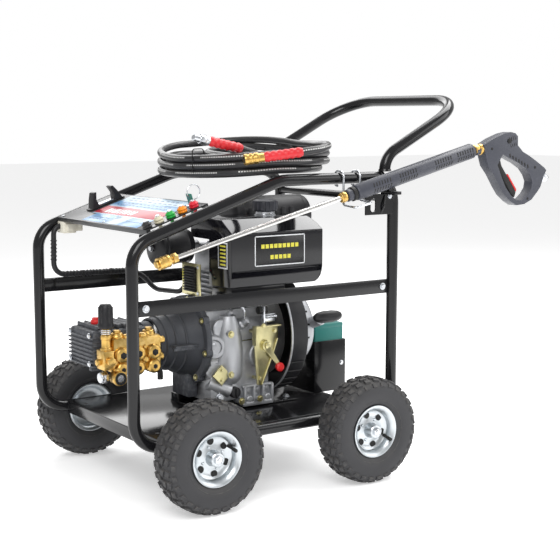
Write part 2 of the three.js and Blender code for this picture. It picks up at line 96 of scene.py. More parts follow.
def math_node(tree, operation, first, second):
    node = tree.nodes.new("ShaderNodeMath")
    node.operation = operation
    for socket, value in zip(node.inputs, (first, second)):
        if isinstance(value, (int, float)):
            socket.default_value = value
        else:
            tree.links.new(value, socket)
    return node.outputs[0]


def noise_node(tree, detail, scale=None):
    """Noise that lies still on the piece, by its own coordinates."""
    coordinates = tree.nodes.new("ShaderNodeTexCoord")
    noise = tree.nodes.new("ShaderNodeTexNoise")
    noise.inputs["Detail"].default_value = detail
    if scale:
        noise.inputs["Scale"].default_value = scale
    tree.links.new(coordinates.outputs["Object"], noise.inputs["Vector"])
    return noise


def range_node(tree, value, **limits):
    """A Map Range node: limits are its inputs, with _ for a space."""
    node = tree.nodes.new("ShaderNodeMapRange")
    for label, limit in limits.items():
        node.inputs[label.replace("_", " ")].default_value = limit
    tree.links.new(value, node.inputs["Value"])
    return node.outputs[0]


def group_node(tree, group, **values):
    """One of the shared groups, with values for its inputs, _ for a space."""
    node = tree.nodes.new("ShaderNodeGroup")
    node.node_tree = group
    for label, value in values.items():
        node.inputs[label.replace("_", " ")].default_value = value
    return node


def make_grain_group():
    """Fine surface grain and slow blotches, both from 0 to 1."""
    group, entry, result = group_shell(
        "surface_grain",
        [("Grain Scale", "NodeSocketFloat", 400.0), ("Blotch Scale", "NodeSocketFloat", 14.0)],
        [("Grain", "NodeSocketFloat"), ("Blotch", "NodeSocketFloat")])
    for label, detail in (("Grain", 3.0), ("Blotch", 4.0)):
        noise = noise_node(group, detail)
        group.links.new(entry.outputs[f"{label} Scale"], noise.inputs["Scale"])
        group.links.new(noise.outputs["Fac"], result.inputs[label])
    return group


def make_wear_group():
    """A mask of rubbed edges, stronger where blotches of its own noise are high."""
    group, entry, result = group_shell(
        "edge_wear", [("Amount", "NodeSocketFloat", 0.3)], [("Wear", "NodeSocketFloat")])
    geometry = group.nodes.new("ShaderNodeNewGeometry")
    edge = range_node(group, geometry.outputs["Pointiness"], From_Min=0.53, From_Max=0.62)
    patch = range_node(group, noise_node(group, 6, 90).outputs["Fac"], From_Min=0.45, From_Max=0.65)
    worn = math_node(group, "MULTIPLY", edge, patch)
    group.links.new(math_node(group, "MULTIPLY", worn, entry.outputs["Amount"]), result.inputs["Wear"])
    return group


def make_dust_group():
    """A mask of settled dust: on faces that look up, in soft patches."""
    group, entry, result = group_shell(
        "settled_dust", [("Amount", "NodeSocketFloat", 0.2)], [("Dust", "NodeSocketFloat")])
    geometry = group.nodes.new("ShaderNodeNewGeometry")
    split = group.nodes.new("ShaderNodeSeparateXYZ")
    group.links.new(geometry.outputs["Normal"], split.inputs[0])
    up = range_node(group, split.outputs["Z"], From_Min=0.1)
    patchy = math_node(group, "MULTIPLY", up, noise_node(group, 8, 22).outputs["Fac"])
    group.links.new(math_node(group, "MULTIPLY", patchy, entry.outputs["Amount"]), result.inputs["Dust"])
    return group


GRAIN, WEAR, DUST = make_grain_group(), make_wear_group(), make_dust_group()
DUST_COLOUR = (0.42, 0.39, 0.34)


def mix_colour(tree, factor, below, above):
    node = tree.nodes.new("ShaderNodeMix")
    node.data_type = "RGBA"
    tree.links.new(factor, node.inputs["Factor"])
    for socket, value in ((node.inputs["A"], below), (node.inputs["B"], above)):
        if isinstance(value, tuple):
            socket.default_value = (*value, 1)
        else:
            tree.links.new(value, socket)
    return node.outputs["Result"]


def finish(name, colour, roughness, metallic=0.0, mottle=0.15, grain=400, bump=0.15, worn_to=None, wear=0.0,
           dust=0.05, coat=0.0, rough_spread=0.12, grain_depth=0.0004, blotch=14, specular=0.5, slot=None):
    """A finish with mottled colour, grain in its roughness and relief, edge wear and a little dust."""
    material = bpy.data.materials.new(name)
    material.use_nodes = True
    tree = material.node_tree
    shader = tree.nodes["Principled BSDF"]
    surface = group_node(tree, GRAIN, Grain_Scale=grain, Blotch_Scale=blotch)
    dark = tuple(c * (1 - mottle) for c in colour)
    light = tuple(min(1, c * (1 + mottle)) for c in colour)
    shade = mix_colour(tree, surface.outputs["Blotch"], dark, light)
    if worn_to:
        rubbed = group_node(tree, WEAR, Amount=wear)
        shade = mix_colour(tree, rubbed.outputs["Wear"], shade, worn_to)
    settled = group_node(tree, DUST, Amount=dust)
    shade = mix_colour(tree, settled.outputs["Dust"], shade, DUST_COLOUR)
    tree.links.new(shade, shader.inputs["Base Color"])
    spread = range_node(tree, surface.outputs["Blotch"], To_Min=max(0.02, roughness - rough_spread),
                        To_Max=min(1, roughness + rough_spread))
    dulled = math_node(tree, "ADD", spread, math_node(tree, "MULTIPLY", settled.outputs["Dust"], 0.5))
    tree.links.new(dulled, shader.inputs["Roughness"])
    shader.inputs["Metallic"].default_value = metallic
    shader.inputs["Specular IOR Level"].default_value = specular
    shader.inputs["Coat Weight"].default_value = coat
    shader.inputs["Coat Roughness"].default_value = 0.06
    relief = tree.nodes.new("ShaderNodeBump")
    relief.inputs["Strength"].default_value = bump
    relief.inputs["Distance"].default_value = grain_depth
    tree.links.new(surface.outputs["Grain"], relief.inputs["Height"])
    tree.links.new(relief.outputs["Normal"], shader.inputs["Normal"])
    material["slot"] = slot or name
    return material


POWDER_COAT = finish("powder_coat", (0.008, 0.008, 0.009), 0.16, 0, 0.08, 900, 0.03, dust=0.004,
                     rough_spread=0.015, specular=0.38)
TYRE = finish("tyre_rubber", (0.040, 0.040, 0.043), 0.6, 0, 0.3, 500, 0.4, (0.09, 0.085, 0.08), 0.5, 0.16,
              specular=0.35)
ZINC = finish("zinc", (0.66, 0.68, 0.71), 0.26, 1, 0.12, 700, 0.15, blotch=40)
RIM_ZINC = finish("rim_zinc", (0.60, 0.635, 0.66), 0.34, 1, 0.16, 420, 0.2, (0.3, 0.3, 0.3), 0.3, 0.08,
                  blotch=55,
                  slot="zinc")
YELLOW_ZINC = finish("yellow_zinc", (0.60, 0.55, 0.30), 0.34, 1, 0.25, 500, 0.2, blotch=60)
CAST_METAL = finish("cast_aluminium", (0.47, 0.48, 0.50), 0.46, 0.8, 0.22, 620, 0.8, (0.75, 0.75, 0.75), 0.5,
                    0.1)
DARK_CAST = finish("grey_casting", (0.062, 0.066, 0.076), 0.5, 0.25, 0.2, 520, 0.8, (0.25, 0.26, 0.28), 0.6,
                   0.08,
                   specular=0.4)
BLACK_PLASTIC = finish("black_plastic", (0.013, 0.013, 0.015), 0.42, 0, 0.2, 900, 0.3, (0.07, 0.07, 0.07),
                       0.3, 0.03,
                       specular=0.35)
TANK_PAINT = finish("tank_paint", (0.005, 0.005, 0.007), 0.09, 0, 0.15, 60, 0.015, dust=0.004,
                    rough_spread=0.03,
                    specular=0.5)
BRASS = finish("brass", (0.66, 0.42, 0.12), 0.33, 1, 0.28, 300, 0.4, (0.9, 0.72, 0.36), 0.7, 0.05, blotch=45)
STAINLESS = finish("stainless", (0.66, 0.65, 0.63), 0.2, 1, 0.08, 900, 0.12, blotch=50)
BATTERY_CASE = finish("battery_case", (0.01, 0.17, 0.15), 0.4, 0, 0.12, 800, 0.3)
PANEL_SHEET = finish("panel_print", (0.035, 0.036, 0.038), 0.3, 0.2, 0.15, 600, 0.05, dust=0.03)
# The tank cap's black plastic, made lighter and bluer: painted sheen for the blue-grey glints on its ribbed
# edges.
SHEENED_CAP_PLASTIC = finish("cap_plastic_painted_sheen", (0.030, 0.032, 0.042), 0.38, 0, 0.15, 900, 0.3, (0.1, 0.1, 0.12), 0.4,
                     0.03,
                     slot="black_plastic")
GUN_PLASTIC = finish("gun_plastic", (0.050, 0.053, 0.068), 0.42, 0, 0.14, 1100, 0.45, (0.15, 0.15, 0.18), 0.3,
                     0.03,
                     specular=0.4)
KEY_TEAL = finish("key_teal", (0.02, 0.16, 0.12), 0.35, 0, 0.1, 800, 0.2)
LOCK_RED = finish("lock_red", (0.62, 0.015, 0.015), 0.35, 0, 0.1, 800, 0.2)
RED_SLEEVE = finish("red_sleeve", (0.60, 0.018, 0.025), 0.38, 0, 0.14, 500, 0.25, dust=0.06)
GASKET = finish("gasket", (0.010, 0.010, 0.010), 0.55, 0, 0.12, 500, 0.3, specular=0.35)
LABEL_WHITE = finish("label_white", (0.80, 0.82, 0.84), 0.35, 0, 0.05, 500, 0.05)
LABEL_YELLOW = finish("label_yellow", (0.72, 0.66, 0.06), 0.35, 0, 0.08, 500, 0.05)
LABEL_RED = finish("label_red", (0.42, 0.008, 0.03), 0.35, 0, 0.15, 500, 0.05)
LABEL_BLACK = finish("label_black", (0.005, 0.005, 0.006), 0.25, 0, 0.1, 500, 0.05, dust=0.0)
LABEL_PALE = finish("label_pale", (0.42, 0.56, 0.68), 0.3, 0, 0.1, 500, 0.05)
LABEL_BLUE = finish("label_blue", (0.16, 0.34, 0.58), 0.3, 0, 0.15, 500, 0.05)
LABEL_INK = finish("label_ink", (0.06, 0.12, 0.25), 0.3, 0, 0.15, 500, 0.05)
CREAM = finish("connector_cream", (0.70, 0.67, 0.57), 0.45, 0, 0.06, 700, 0.2)
WIRE_RED = finish("wire_red", (0.6, 0.02, 0.02), 0.4, 0, 0.08, 700, 0.1)
WIRE_GREEN = finish("wire_green", (0.01, 0.22, 0.2), 0.4, 0, 0.08, 700, 0.1)
TIP_FINISHES = {
    "black": finish("tip_black", (0.015, 0.015, 0.016), 0.4, 0, 0.1, 700, 0.3),
    "white": finish("tip_white", (0.62, 0.58, 0.42), 0.4, 0, 0.1, 700, 0.3),
    "green": finish("tip_green", (0.01, 0.36, 0.05), 0.4, 0, 0.1, 700, 0.3),
    "orange": finish("tip_orange", (0.86, 0.27, 0.01), 0.4, 0, 0.1, 700, 0.3),
    "red": finish("tip_red", (0.66, 0.01, 0.03), 0.4, 0, 0.1, 700, 0.3),
}


# ---- modelling by operators ----
def alone(obj):
    """Makes one object the selected and active one."""
    bpy.ops.object.select_all(action="DESELECT")
    obj.select_set(True)
    bpy.context.view_layer.objects.active = obj


def apply_place(obj):
    alone(obj)
    bpy.ops.object.transform_apply(location=True, rotation=True, scale=True)


def apply_modifiers(obj):
    alone(obj)
    for modifier in list(obj.modifiers):
        bpy.ops.object.modifier_apply(modifier=modifier.name)


def edit(obj):
    alone(obj)
    bpy.ops.object.mode_set(mode="EDIT")


def edit_all(obj):
    edit(obj)
    bpy.ops.mesh.select_all(action="SELECT")


def leave_edit():
    bpy.ops.object.mode_set(mode="OBJECT")


def seal(join_within):
    """Joins the ends of a ring-shaped piece, or with 0 caps an open one, and leaves edit mode."""
    bpy.ops.mesh.select_all(action="SELECT")
    if join_within:
        bpy.ops.mesh.remove_doubles(threshold=join_within)
    else:
        bpy.ops.mesh.fill_holes(sides=0)
    bpy.ops.mesh.select_all(action="SELECT")
    bpy.ops.mesh.normals_make_consistent(inside=False)
    leave_edit()


def soften(obj, width, segments=2, angle=32, smooth=32):
    """Rounds the sharp edges of a piece and shades what is round smoothly."""
    if width:
        bevel = obj.modifiers.new("rounded", "BEVEL")
        bevel.width = width * MM
        bevel.segments = segments
        bevel.limit_method = "ANGLE"
        bevel.angle_limit = math.radians(angle)
        bevel.harden_normals = False
        apply_modifiers(obj)
    alone(obj)
    bpy.ops.object.shade_smooth_by_angle(angle=math.radians(smooth))
    return obj


def outward(obj):
    edit_all(obj)
    bpy.ops.mesh.normals_make_consistent(inside=False)
    leave_edit()


def done(obj, name, material, stands_for=(), body="machine"):
    """Names a finished piece, gives it its finish, its body and the CAD nodes it stands for."""
    obj.name = name
    obj.data.name = name
    obj.data.materials.clear()
    obj.data.materials.append(material)
    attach(obj, body)
    if stands_for:
        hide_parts(*stands_for)
    return obj


def put(obj, turn, location):
    """Turns a piece and moves it to a point of the row frame, then applies both."""
    obj.rotation_mode = "QUATERNION"
    obj.rotation_quaternion = turn
    obj.location = location
    apply_place(obj)
    return obj


def onto(axis):
    return Vector(axis).to_track_quat("Z", "Y")


def unit_box(size):
    """A box of a size in millimetres round the origin, still to be turned and rounded."""
    bpy.ops.mesh.primitive_cube_add(size=1)
    obj = bpy.context.object
    obj.scale = Vector(size) * MM
    return obj


def block(x, y, z, round_by=1.0):
    """A box between two machine planes each way, in millimetres, with rounded edges."""
    low, high = at(x[0], y[0], z[0]), at(x[1], y[1], z[1])
    bpy.ops.mesh.primitive_cube_add(size=1, location=(low + high) / 2)
    obj = bpy.context.object
    obj.scale = high - low
    apply_place(obj)
    return soften(obj, round_by) if round_by else obj


def lathe(profile, origin, axis, sides=32, round_by=0.0, closed=False):
    """A turned piece. A circle is pushed along the axis and resized from ring to ring: profile is
    [radius, distance] in millimetres, and origin a machine point."""
    first_radius, first_along = profile[0]
    bpy.ops.mesh.primitive_circle_add(vertices=sides, radius=first_radius * MM, fill_type="NOTHING",
                                      location=(0, 0, first_along * MM))
    obj = bpy.context.object
    apply_place(obj)
    edit_all(obj)
    radius, along = first_radius, first_along
    for next_radius, next_along in profile[1:]:
        bpy.ops.mesh.extrude_region_move(
            TRANSFORM_OT_translate={"value": (0, 0, (next_along - along) * MM)})
        grow = next_radius / radius
        bpy.ops.transform.resize(value=(grow, grow, 1), center_override=(0, 0, next_along * MM))
        radius, along = next_radius, next_along
    seal(WELD if closed else 0)
    return soften(put(obj, onto(axis), at(*origin)), round_by)


def rod(radius, length, origin, axis, sides=24, round_by=0.6):
    return lathe([(radius, 0), (radius, length)], origin, axis, sides, round_by)


def bend_data(corners):
    """The straight runs and the bends of a path whose corners are (x, y, z, bend radius)."""
    points = [Vector(c[:3]) for c in corners]
    runs = []
    here = points[0]
    for i in range(1, len(corners)):
        before = (points[i] - points[i - 1]).normalized()
        if i == len(corners) - 1 or not corners[i][3]:
            runs.append(("line", points[i] - here))
            here = points[i]
            continue
        after = (points[i + 1] - points[i]).normalized()
        angle = before.angle(after)
        radius = corners[i][3]
        start = points[i] - before * radius * math.tan(angle / 2)
        inward = (after - before * before.dot(after)).normalized()
        runs.append(("line", start - here))
        runs.append(("bend", start + inward * radius, after.cross(before).normalized(), angle))
        here = points[i] + after * radius * math.tan(angle / 2)
    return runs


def bent_tube(corners, radius, sides=28, closed=False, step_degrees=7):
    """A tube pushed out of a circle: extruded along its straight runs and spun round its bends."""
    start = Vector(corners[0][:3])
    direction = (Vector(corners[1][:3]) - start).normalized()
    bpy.ops.mesh.primitive_circle_add(vertices=sides, radius=radius * MM, fill_type="NOTHING")
    obj = bpy.context.object
    edit_all(put(obj, onto(direction), at(*start)))
    for run in bend_data(corners):
        if run[0] == "line":
            if run[1].length > 0.01:
                bpy.ops.mesh.extrude_region_move(TRANSFORM_OT_translate={"value": tuple(run[1] * MM)})
        else:
            steps = max(2, round(math.degrees(run[3]) / step_degrees))
            bpy.ops.mesh.spin(steps=steps, dupli=False, angle=run[3], center=tuple(at(*run[1])),
                              axis=tuple(run[2]))
    seal(TUBE_WELD if closed else 0)
    return soften(obj, 0)


def copy_of(model):
    """A copy with a mesh of its own."""
    piece = model.copy()
    piece.data = model.data.copy()
    bpy.context.scene.collection.objects.link(piece)
    return piece


def refined(node, round_by=1.0, segments=2, smooth=32):
    """A copy of a CAD node with its flat faces joined up and its edges rounded."""
    obj = copy_of(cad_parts[node])
    obj.parent = None
    edit_all(obj)
    bpy.ops.mesh.remove_doubles(threshold=WELD)
    bpy.ops.mesh.dissolve_limited(angle_limit=math.radians(1))
    leave_edit()
    return soften(obj, round_by, segments, smooth=smooth)


def merge(pieces):
    """Several pieces of one finish as one object."""
    bpy.ops.object.select_all(action="DESELECT")
    for piece in pieces:
        piece.select_set(True)
    bpy.context.view_layer.objects.active = pieces[0]
    bpy.ops.object.join()
    return bpy.context.object


def hex_bolt(origin, axis, size=6.0, washer=True):
    """A hex head on a washer, its underside at the origin."""
    pieces = [lathe([(size, 0.6), (size, size * 0.7), (size * 0.8, size * 0.85)], origin, axis, 6)]
    if washer:
        pieces.append(lathe([(size * 1.35, 0), (size * 1.35, 1.2)], origin, axis, 20))
    return merge(pieces)


def bolts(places, axis, size=6.0):
    return merge([hex_bolt(place, axis, size) for place in places])


def ring_places(centre, radius, count, start=0.0):
    """Machine points round the crank-wise axis at one X."""
    x, y, z = centre
    for i in range(count):
        angle = start + i * 2 * math.pi / count
        yield (x, y + radius * math.cos(angle), z + radius * math.sin(angle))


def upright_places(centre, radius, count):
    """Machine points at floor level round an upright axis."""
    for k in range(count):
        angle = k * 2 * math.pi / count
        yield (centre[0] + radius * math.cos(angle), centre[1] + radius * math.sin(angle), 0)


# ---- hose: its route, its printed cover and its two ends ----
HOSE_R = 9.2
INNER, OUTER = (173, 222), (192, 241)
COIL_CENTRE = (450, 248)
STEPS_PER_TURN = 24
FIRST_STEP, LAST_STEP = 4, 130  # where the hose joins the coil and leaves it
# turn count, column (half length, half width) and height at which the strand lies from there on
COIL_STAGES = [
    (0.0, INNER, 820.0), (0.3, INNER, 820.0), (0.55, OUTER, 802.0), (1.1, OUTER, 802.0), (1.3, OUTER, 783.6),
    (2.1, OUTER, 783.6), (2.3, OUTER, 765.0), (2.85, OUTER, 765.0), (3.15, INNER, 765.0),
    (3.65, INNER, 765.0),
    (3.85, INNER, 783.6), (4.65, INNER, 783.6), (4.85, INNER, 802.0), (5.45, INNER, 802.0),
]


def smooth_step(t):
    return t * t * (3 - 2 * t)


def coil_point(turns):
    for (t0, column0, z0), (t1, column1, z1) in zip(COIL_STAGES, COIL_STAGES[1:]):
        if t0 <= turns <= t1:
            mix = smooth_step((turns - t0) / (t1 - t0))
            break
    half_x = column0[0] + (column1[0] - column0[0]) * mix
    half_y = column0[1] + (column1[1] - column0[1]) * mix
    angle = (turns - 0.25) * 2 * math.pi
    x, y = COIL_CENTRE[0] + half_x * math.cos(angle), COIL_CENTRE[1] + half_y * math.sin(angle)
    z = z0 + (z1 - z0) * mix
    sag = 0.1 * max(0, SLOPE_END_X - x)
    loose = 0.05 * max(0, y - COIL_CENTRE[1]) * (z - 764) / 34
    return Vector((x, y, z - sag + loose))


def smooth_route(points, spacing):
    """Catmull-Rom through the points, resampled at even spacing."""
    fine = []
    padded = [points[0] * 2 - points[1], *points, points[-1] * 2 - points[-2]]
    for p0, p1, p2, p3 in zip(padded, padded[1:], padded[2:], padded[3:]):
        for k in range(12):
            t = k / 12
            fine.append(0.5 * (p1 * 2 + (p2 - p0) * t + (p0 * 2 - p1 * 5 + p2 * 4 - p3) * t * t
                               + (p1 * 3 - p0 - p2 * 3 + p3) * t ** 3))
    fine.append(points[-1])
    even, travelled = [fine[0]], 0.0
    for a, b in zip(fine, fine[1:]):
        step = (b - a).length
        while travelled + step >= spacing:
            a = a + (b - a) * ((spacing - travelled) / step)
            step = (b - a).length
            travelled = 0.0
            even.append(a)
        travelled += step
    if (fine[-1] - even[-1]).length > spacing * 0.3:
        even.append(fine[-1])
    return even


def tube_along(points, radius, sides, name):
    """A closed tube along even points (machine millimetres), with UV: u round it, v metres along it."""
    places = [at(*p) for p in points]
    tangents = []
    for i in range(len(places)):
        tangents.append((places[min(i + 1, len(places) - 1)] - places[max(i - 1, 0)]).normalized())
    verts, faces, uvs = [], [], []
    travelled = [0.0]
    for a, b in zip(places, places[1:]):
        travelled.append(travelled[-1] + (b - a).length)
    for place, tangent in zip(places, tangents):
        side = tangent.cross(Z).normalized()
        rise = side.cross(tangent).normalized()
        for k in range(sides):
            angle = 2 * math.pi * k / sides
            verts.append(place + (side * math.cos(angle) + rise * math.sin(angle)) * radius * MM)
    for i in range(len(places) - 1):
        for k in range(sides):
            a, b = i * sides + k, i * sides + (k + 1) % sides
            faces.append((a, b, b + sides, a + sides))
            u0, u1, v0, v1 = k / sides, (k + 1) / sides, travelled[i], travelled[i + 1]
            uvs.append(((u0, v0), (u1, v0), (u1, v1), (u0, v1)))
    last = (len(places) - 1) * sides
    faces.append(tuple(range(sides - 1, -1, -1)))
    faces.append(tuple(last + k for k in range(sides)))
    uvs.append(tuple((0.5, 0.0) for _ in range(sides)))
    uvs.append(tuple((0.5, travelled[-1]) for _ in range(sides)))
    mesh = bpy.data.meshes.new(name)
    mesh.from_pydata(verts, [], faces)
    layer = mesh.uv_layers.new(name="along")
    for polygon, corners in zip(mesh.polygons, uvs):
        for loop, uv in zip(polygon.loop_indices, corners):
            layer.data[loop].uv = uv
    obj = bpy.data.objects.new(name, mesh)
    bpy.context.scene.collection.objects.link(obj)
    outward(obj)
    return soften(obj, 0, smooth=50), travelled[-1]


PRINT_PLACE, PRINT_HALF_WIDTH = 0.055, 0.03  # shares of the way round the hose
LETTERS_PER_METRE, LETTER_SHARE = 160.0, 0.62
WORDS_PER_METRE, WORD_SHARE = 5.3, 0.72
PRINT_STRENGTH = 0.75


def hose_finish():
    """Wrapped black rubber with a broken white line printed along its outer side."""
    material = finish("hose_rubber", (0.016, 0.016, 0.018), 0.36, 0, 0.2, 500, 0.3, dust=0.1)
    tree = material.node_tree
    shader = tree.nodes["Principled BSDF"]
    place = tree.nodes.new("ShaderNodeUVMap")
    place.uv_map = "along"
    split = tree.nodes.new("ShaderNodeSeparateXYZ")
    tree.links.new(place.outputs[0], split.inputs[0])
    off_line = math_node(tree, "ABSOLUTE", math_node(tree, "SUBTRACT", split.outputs["X"], PRINT_PLACE), 0)
    on_line = math_node(tree, "LESS_THAN", off_line, PRINT_HALF_WIDTH)
    letters = math_node(tree, "LESS_THAN", math_node(
        tree, "FRACT", math_node(tree, "MULTIPLY", split.outputs["Y"], LETTERS_PER_METRE), 0), LETTER_SHARE)
    words = math_node(tree, "LESS_THAN", math_node(
        tree, "FRACT", math_node(tree, "MULTIPLY", split.outputs["Y"], WORDS_PER_METRE), 0), WORD_SHARE)
    print_mask = math_node(tree, "MULTIPLY", math_node(tree, "MULTIPLY", on_line, letters), words)
    faded = math_node(tree, "MULTIPLY", print_mask, PRINT_STRENGTH)
    below = shader.inputs["Base Color"].links[0].from_socket
    tree.links.new(mix_colour(tree, faded, below, (0.75, 0.75, 0.73)), shader.inputs["Base Color"])
    return material


BRASS_END = (309, 24, 790)
BRASS_AXIS = Vector((0.938, -0.322, 0.123)).normalized()
CHROME_END = (217, 100, 842)
CHROME_AXIS = Vector((0.97, 0.03, -0.2)).normalized()


def along(origin, axis, distance):
    return Vector(origin) + Vector(axis) * distance


def arc(centre, radius, first, last, heights):
    """Level bend about a machine point, between two angles in degrees, with one point for each height."""
    points = []
    for k, z in enumerate(heights):
        angle = math.radians(first + (last - first) * k / (len(heights) - 1))
        points.append(Vector((centre[0] + radius * math.cos(angle), centre[1] + radius * math.sin(angle), z)))
    return points


def make_hose():
    start = along(BRASS_END, BRASS_AXIS, 140.5)
    finish_at = along(CHROME_END, CHROME_AXIS, 130.5)
    turns = [coil_point(t / STEPS_PER_TURN) for t in range(FIRST_STEP, LAST_STEP)]
    first_bend = arc((472.5, 53), 80, -109, -27, (808.5, 813, 818, 821.5))
    over = arc((510, 357), 80, 38, 180, (811, 809, 805, 800, 796, 793))
    last_bend = arc((361, 184), 80, 0, -88, (789, 793, 800, 810))
    points = [start, *first_bend, Vector((570, 70, 821.5)), *turns, *over[1:],
              Vector((433, 300, 790)), Vector((438, 240, 788)), *last_bend, finish_at]
    even = smooth_route(points, 9.0)
    hose, length = tube_along(even, HOSE_R, 20, "hose_tube")
    done(hose, "hose_tube", hose_finish(), ["hose_coil"], body="hose")
    brass = lathe([(7.5, 0), (12.6, 0), (13, 2), (13, 8), (11.6, 9), (11.6, 13), (13, 14), (13, 19),
                   (11.6, 20),
                   (11.6, 24), (13, 25), (13, 33), (11, 34), (11, 47)], BRASS_END, BRASS_AXIS, 40, 0.3)
    # A dark disc in the coupler's mouth stands for its bore, which is not cut: painted shade.
    coupler_mouth_shade = rod(7, 20, along(BRASS_END, BRASS_AXIS, -0.3), BRASS_AXIS, 24, 0)
    done(brass, "hose_coupler", BRASS, ["hose_end_brass"], body="hose")
    done(coupler_mouth_shade, "hose_coupler_mouth_shade", GASKET, body="hose")
    for name, origin, axis, first in (("hose_sleeve_front", BRASS_END, BRASS_AXIS, 47),
                                      ("hose_sleeve_inner", CHROME_END, CHROME_AXIS, 44)):
        profile = [(9.9, first)]
        for k in range(6):
            base = first + 4 + k * 15
            profile += [(10.9, base), (12.2, base + 4), (12.2, base + 8), (10.9, base + 12)]
        profile += [(9.8, first + 95)]
        sleeve = lathe(profile, origin, axis, 28, 0.5)
        done(sleeve, name, RED_SLEEVE, body="hose")
    chrome = merge([
        lathe([(5.5, 0), (8, 1.5), (8, 12), (9, 14), (9, 18)], CHROME_END, CHROME_AXIS, 28, 0.3),
        lathe([(12.5, 18), (12.5, 34)], CHROME_END, CHROME_AXIS, 6, 0.8),
        lathe([(10, 34), (10.4, 36), (10.4, 44)], CHROME_END, CHROME_AXIS, 28, 0.3)])
    done(chrome, "hose_nipple", ZINC, ["hose_end_chrome"], body="hose")
    ties = []
    for turn in (0.035, 0.5):
        centre = coil_point(3.3 + turn) * 0.5 + coil_point(2.3 + turn) * 0.5
        ahead = (coil_point(2.31 + turn) - coil_point(2.3 + turn)).normalized()
        side = ahead.cross(Z).normalized()
        corners = []
        for across, up in ((-20, 754.6), (20, 754.6), (20, 812.6), (-20, 812.6)):
            corners.append((*(Vector((centre.x, centre.y, 0)) + side * across + Z * up), 8.5))
        first = (Vector(corners[0][:3]) + Vector(corners[1][:3])) / 2
        loop = [(*first, 0), corners[1], corners[2], corners[3], corners[0], (*first, 0)]
        tie = bent_tube(loop, 1.3, 8, closed=True, step_degrees=18)
        ties.append(tie)
    done(merge(ties), "hose_ties", GASKET, body="hose")


make_hose()


# ---- frame ----
BOTTOM_RAIL_Z, TOP_RAIL_Z, KNEE_Z = 152, 741, 608
MID_RAIL_Z = 468
TAB_NEAR, TAB_FAR = 3.2, 7.2  # the rail tabs' two faces, inward of the tube's middle
SLOPE = math.atan2(TOP_RAIL_Z - KNEE_Z, SLOPE_END_X)


def make_frame():
    for side, y, inward in (("left", 0, 1), ("right", TRACK, -1)):
        middle = LENGTH / 2
        loop = bent_tube([
            (middle, y, BOTTOM_RAIL_Z, 0), (0, y, BOTTOM_RAIL_Z, 65), (0, y, KNEE_Z, 65),
            (SLOPE_END_X, y, TOP_RAIL_Z, 120), (LENGTH, y, TOP_RAIL_Z, 65), (LENGTH, y, BOTTOM_RAIL_Z, 65),
            (middle, y, BOTTOM_RAIL_Z, 0)], TUBE_R, 32, closed=True)
        tab_y = sorted((y + inward * TAB_NEAR, y + inward * TAB_FAR))
        tabs = [block(x, tab_y, (MID_RAIL_Z - 16, MID_RAIL_Z + 16), 1) for x in ((8, 42), (694, 728))]
        seam = bent_tube([(690, y, 0.35 + TOP_RAIL_Z, 0), (700, y, 0.35 + TOP_RAIL_Z, 0)], TUBE_R + 0.3, 32)
        done(merge([loop, *tabs, seam]), f"frame_tube_{side}", POWDER_COAT, [f"frame_loop_{side}"])
        rail = block((15, LENGTH - 15), (y - 2.5, y + 2.5), (MID_RAIL_Z - 17.5, MID_RAIL_Z + 17.5), 1.2)
        done(rail, f"side_rail_{side}", POWDER_COAT, [f"mid_rail_{side}"])
        outside = -1 if side == "left" else 1
        heads = bolts([(x, y + outside * 2.5, MID_RAIL_Z) for x in (32, LENGTH - 32)], Y * outside, 6.5)
        done(heads, f"side_rail_bolts_{side}", ZINC)
    handle = bent_tube([
        (709, 0, 755.2, 0), (709, 0, 791, 56), (980, 0, 932, 120), (980, TRACK, 932, 120),
        (709, TRACK, 791, 56),
        (709, TRACK, 755.2, 0)], TUBE_R, 32)
    collars = [lathe([(TUBE_R + 1.2, 755.0), (TUBE_R + 2.4, 756.5), (TUBE_R + 1.0, 761)], (709, y, 0), Z, 32)
               for y in (0, TRACK)]
    done(merge([handle, *collars]), "push_handle", POWDER_COAT, ["handle_bar"])
    cross = lathe([(11.5, 0.5), (11.5, 3), (10, 5), (10, 462), (11.5, 464), (11.5, 466.4)], (LENGTH, 14, 686),
                  Y, 28)
    done(cross, "rear_cross_bar", POWDER_COAT, ["rear_cross_tube"])
    done(refined("base_plate", 1.2), "deck_plate", POWDER_COAT, ["base_plate"])
    # Dark discs on the deck stand for its drain openings, which are not cut: painted shade.
    hole_shade_discs = [lathe([(5, 0), (5, 0.4)], (x, y, 165.8), Z, 16) for x in (92, 240, 640) for y in (60, 430)]
    done(merge(hole_shade_discs), "deck_drain_hole_shade", GASKET)


make_frame()


def make_lance_bracket():
    """The slotted plate on the left rear post that carries the grip."""
    plate = block((640, 728), (-12, -8), (649, 700), 0)
    ear = block((690, 712), (-62, -8), (700, 708), 1)
    edit_all(plate)
    bpy.ops.mesh.bevel(offset=0.0012, segments=2)
    leave_edit()
    cutter = merge([block((656, 672), (-20, 0), (664, 682), 0),
                    lathe([(8, -10), (8, 10)], (664, -10, 664), Y, 24),
                    lathe([(8, -10), (8, 10)], (664, -10, 682), Y, 24)])
    hole = plate.modifiers.new("slot", "BOOLEAN")
    hole.object = cutter
    hole.solver = "EXACT"
    hole.use_self = True
    apply_modifiers(plate)
    bpy.data.objects.remove(cutter)
    rib = bent_tube([(690, -10, 652, 0), (694, -18, 672, 14), (700, -12, 697, 0)], 2.6, 12)
    done(merge([plate, ear, rib]), "lance_bracket", POWDER_COAT)
    done(hex_bolt((716, -12, 694), -Y, 5), "lance_bracket_bolt", ZINC)


make_lance_bracket()


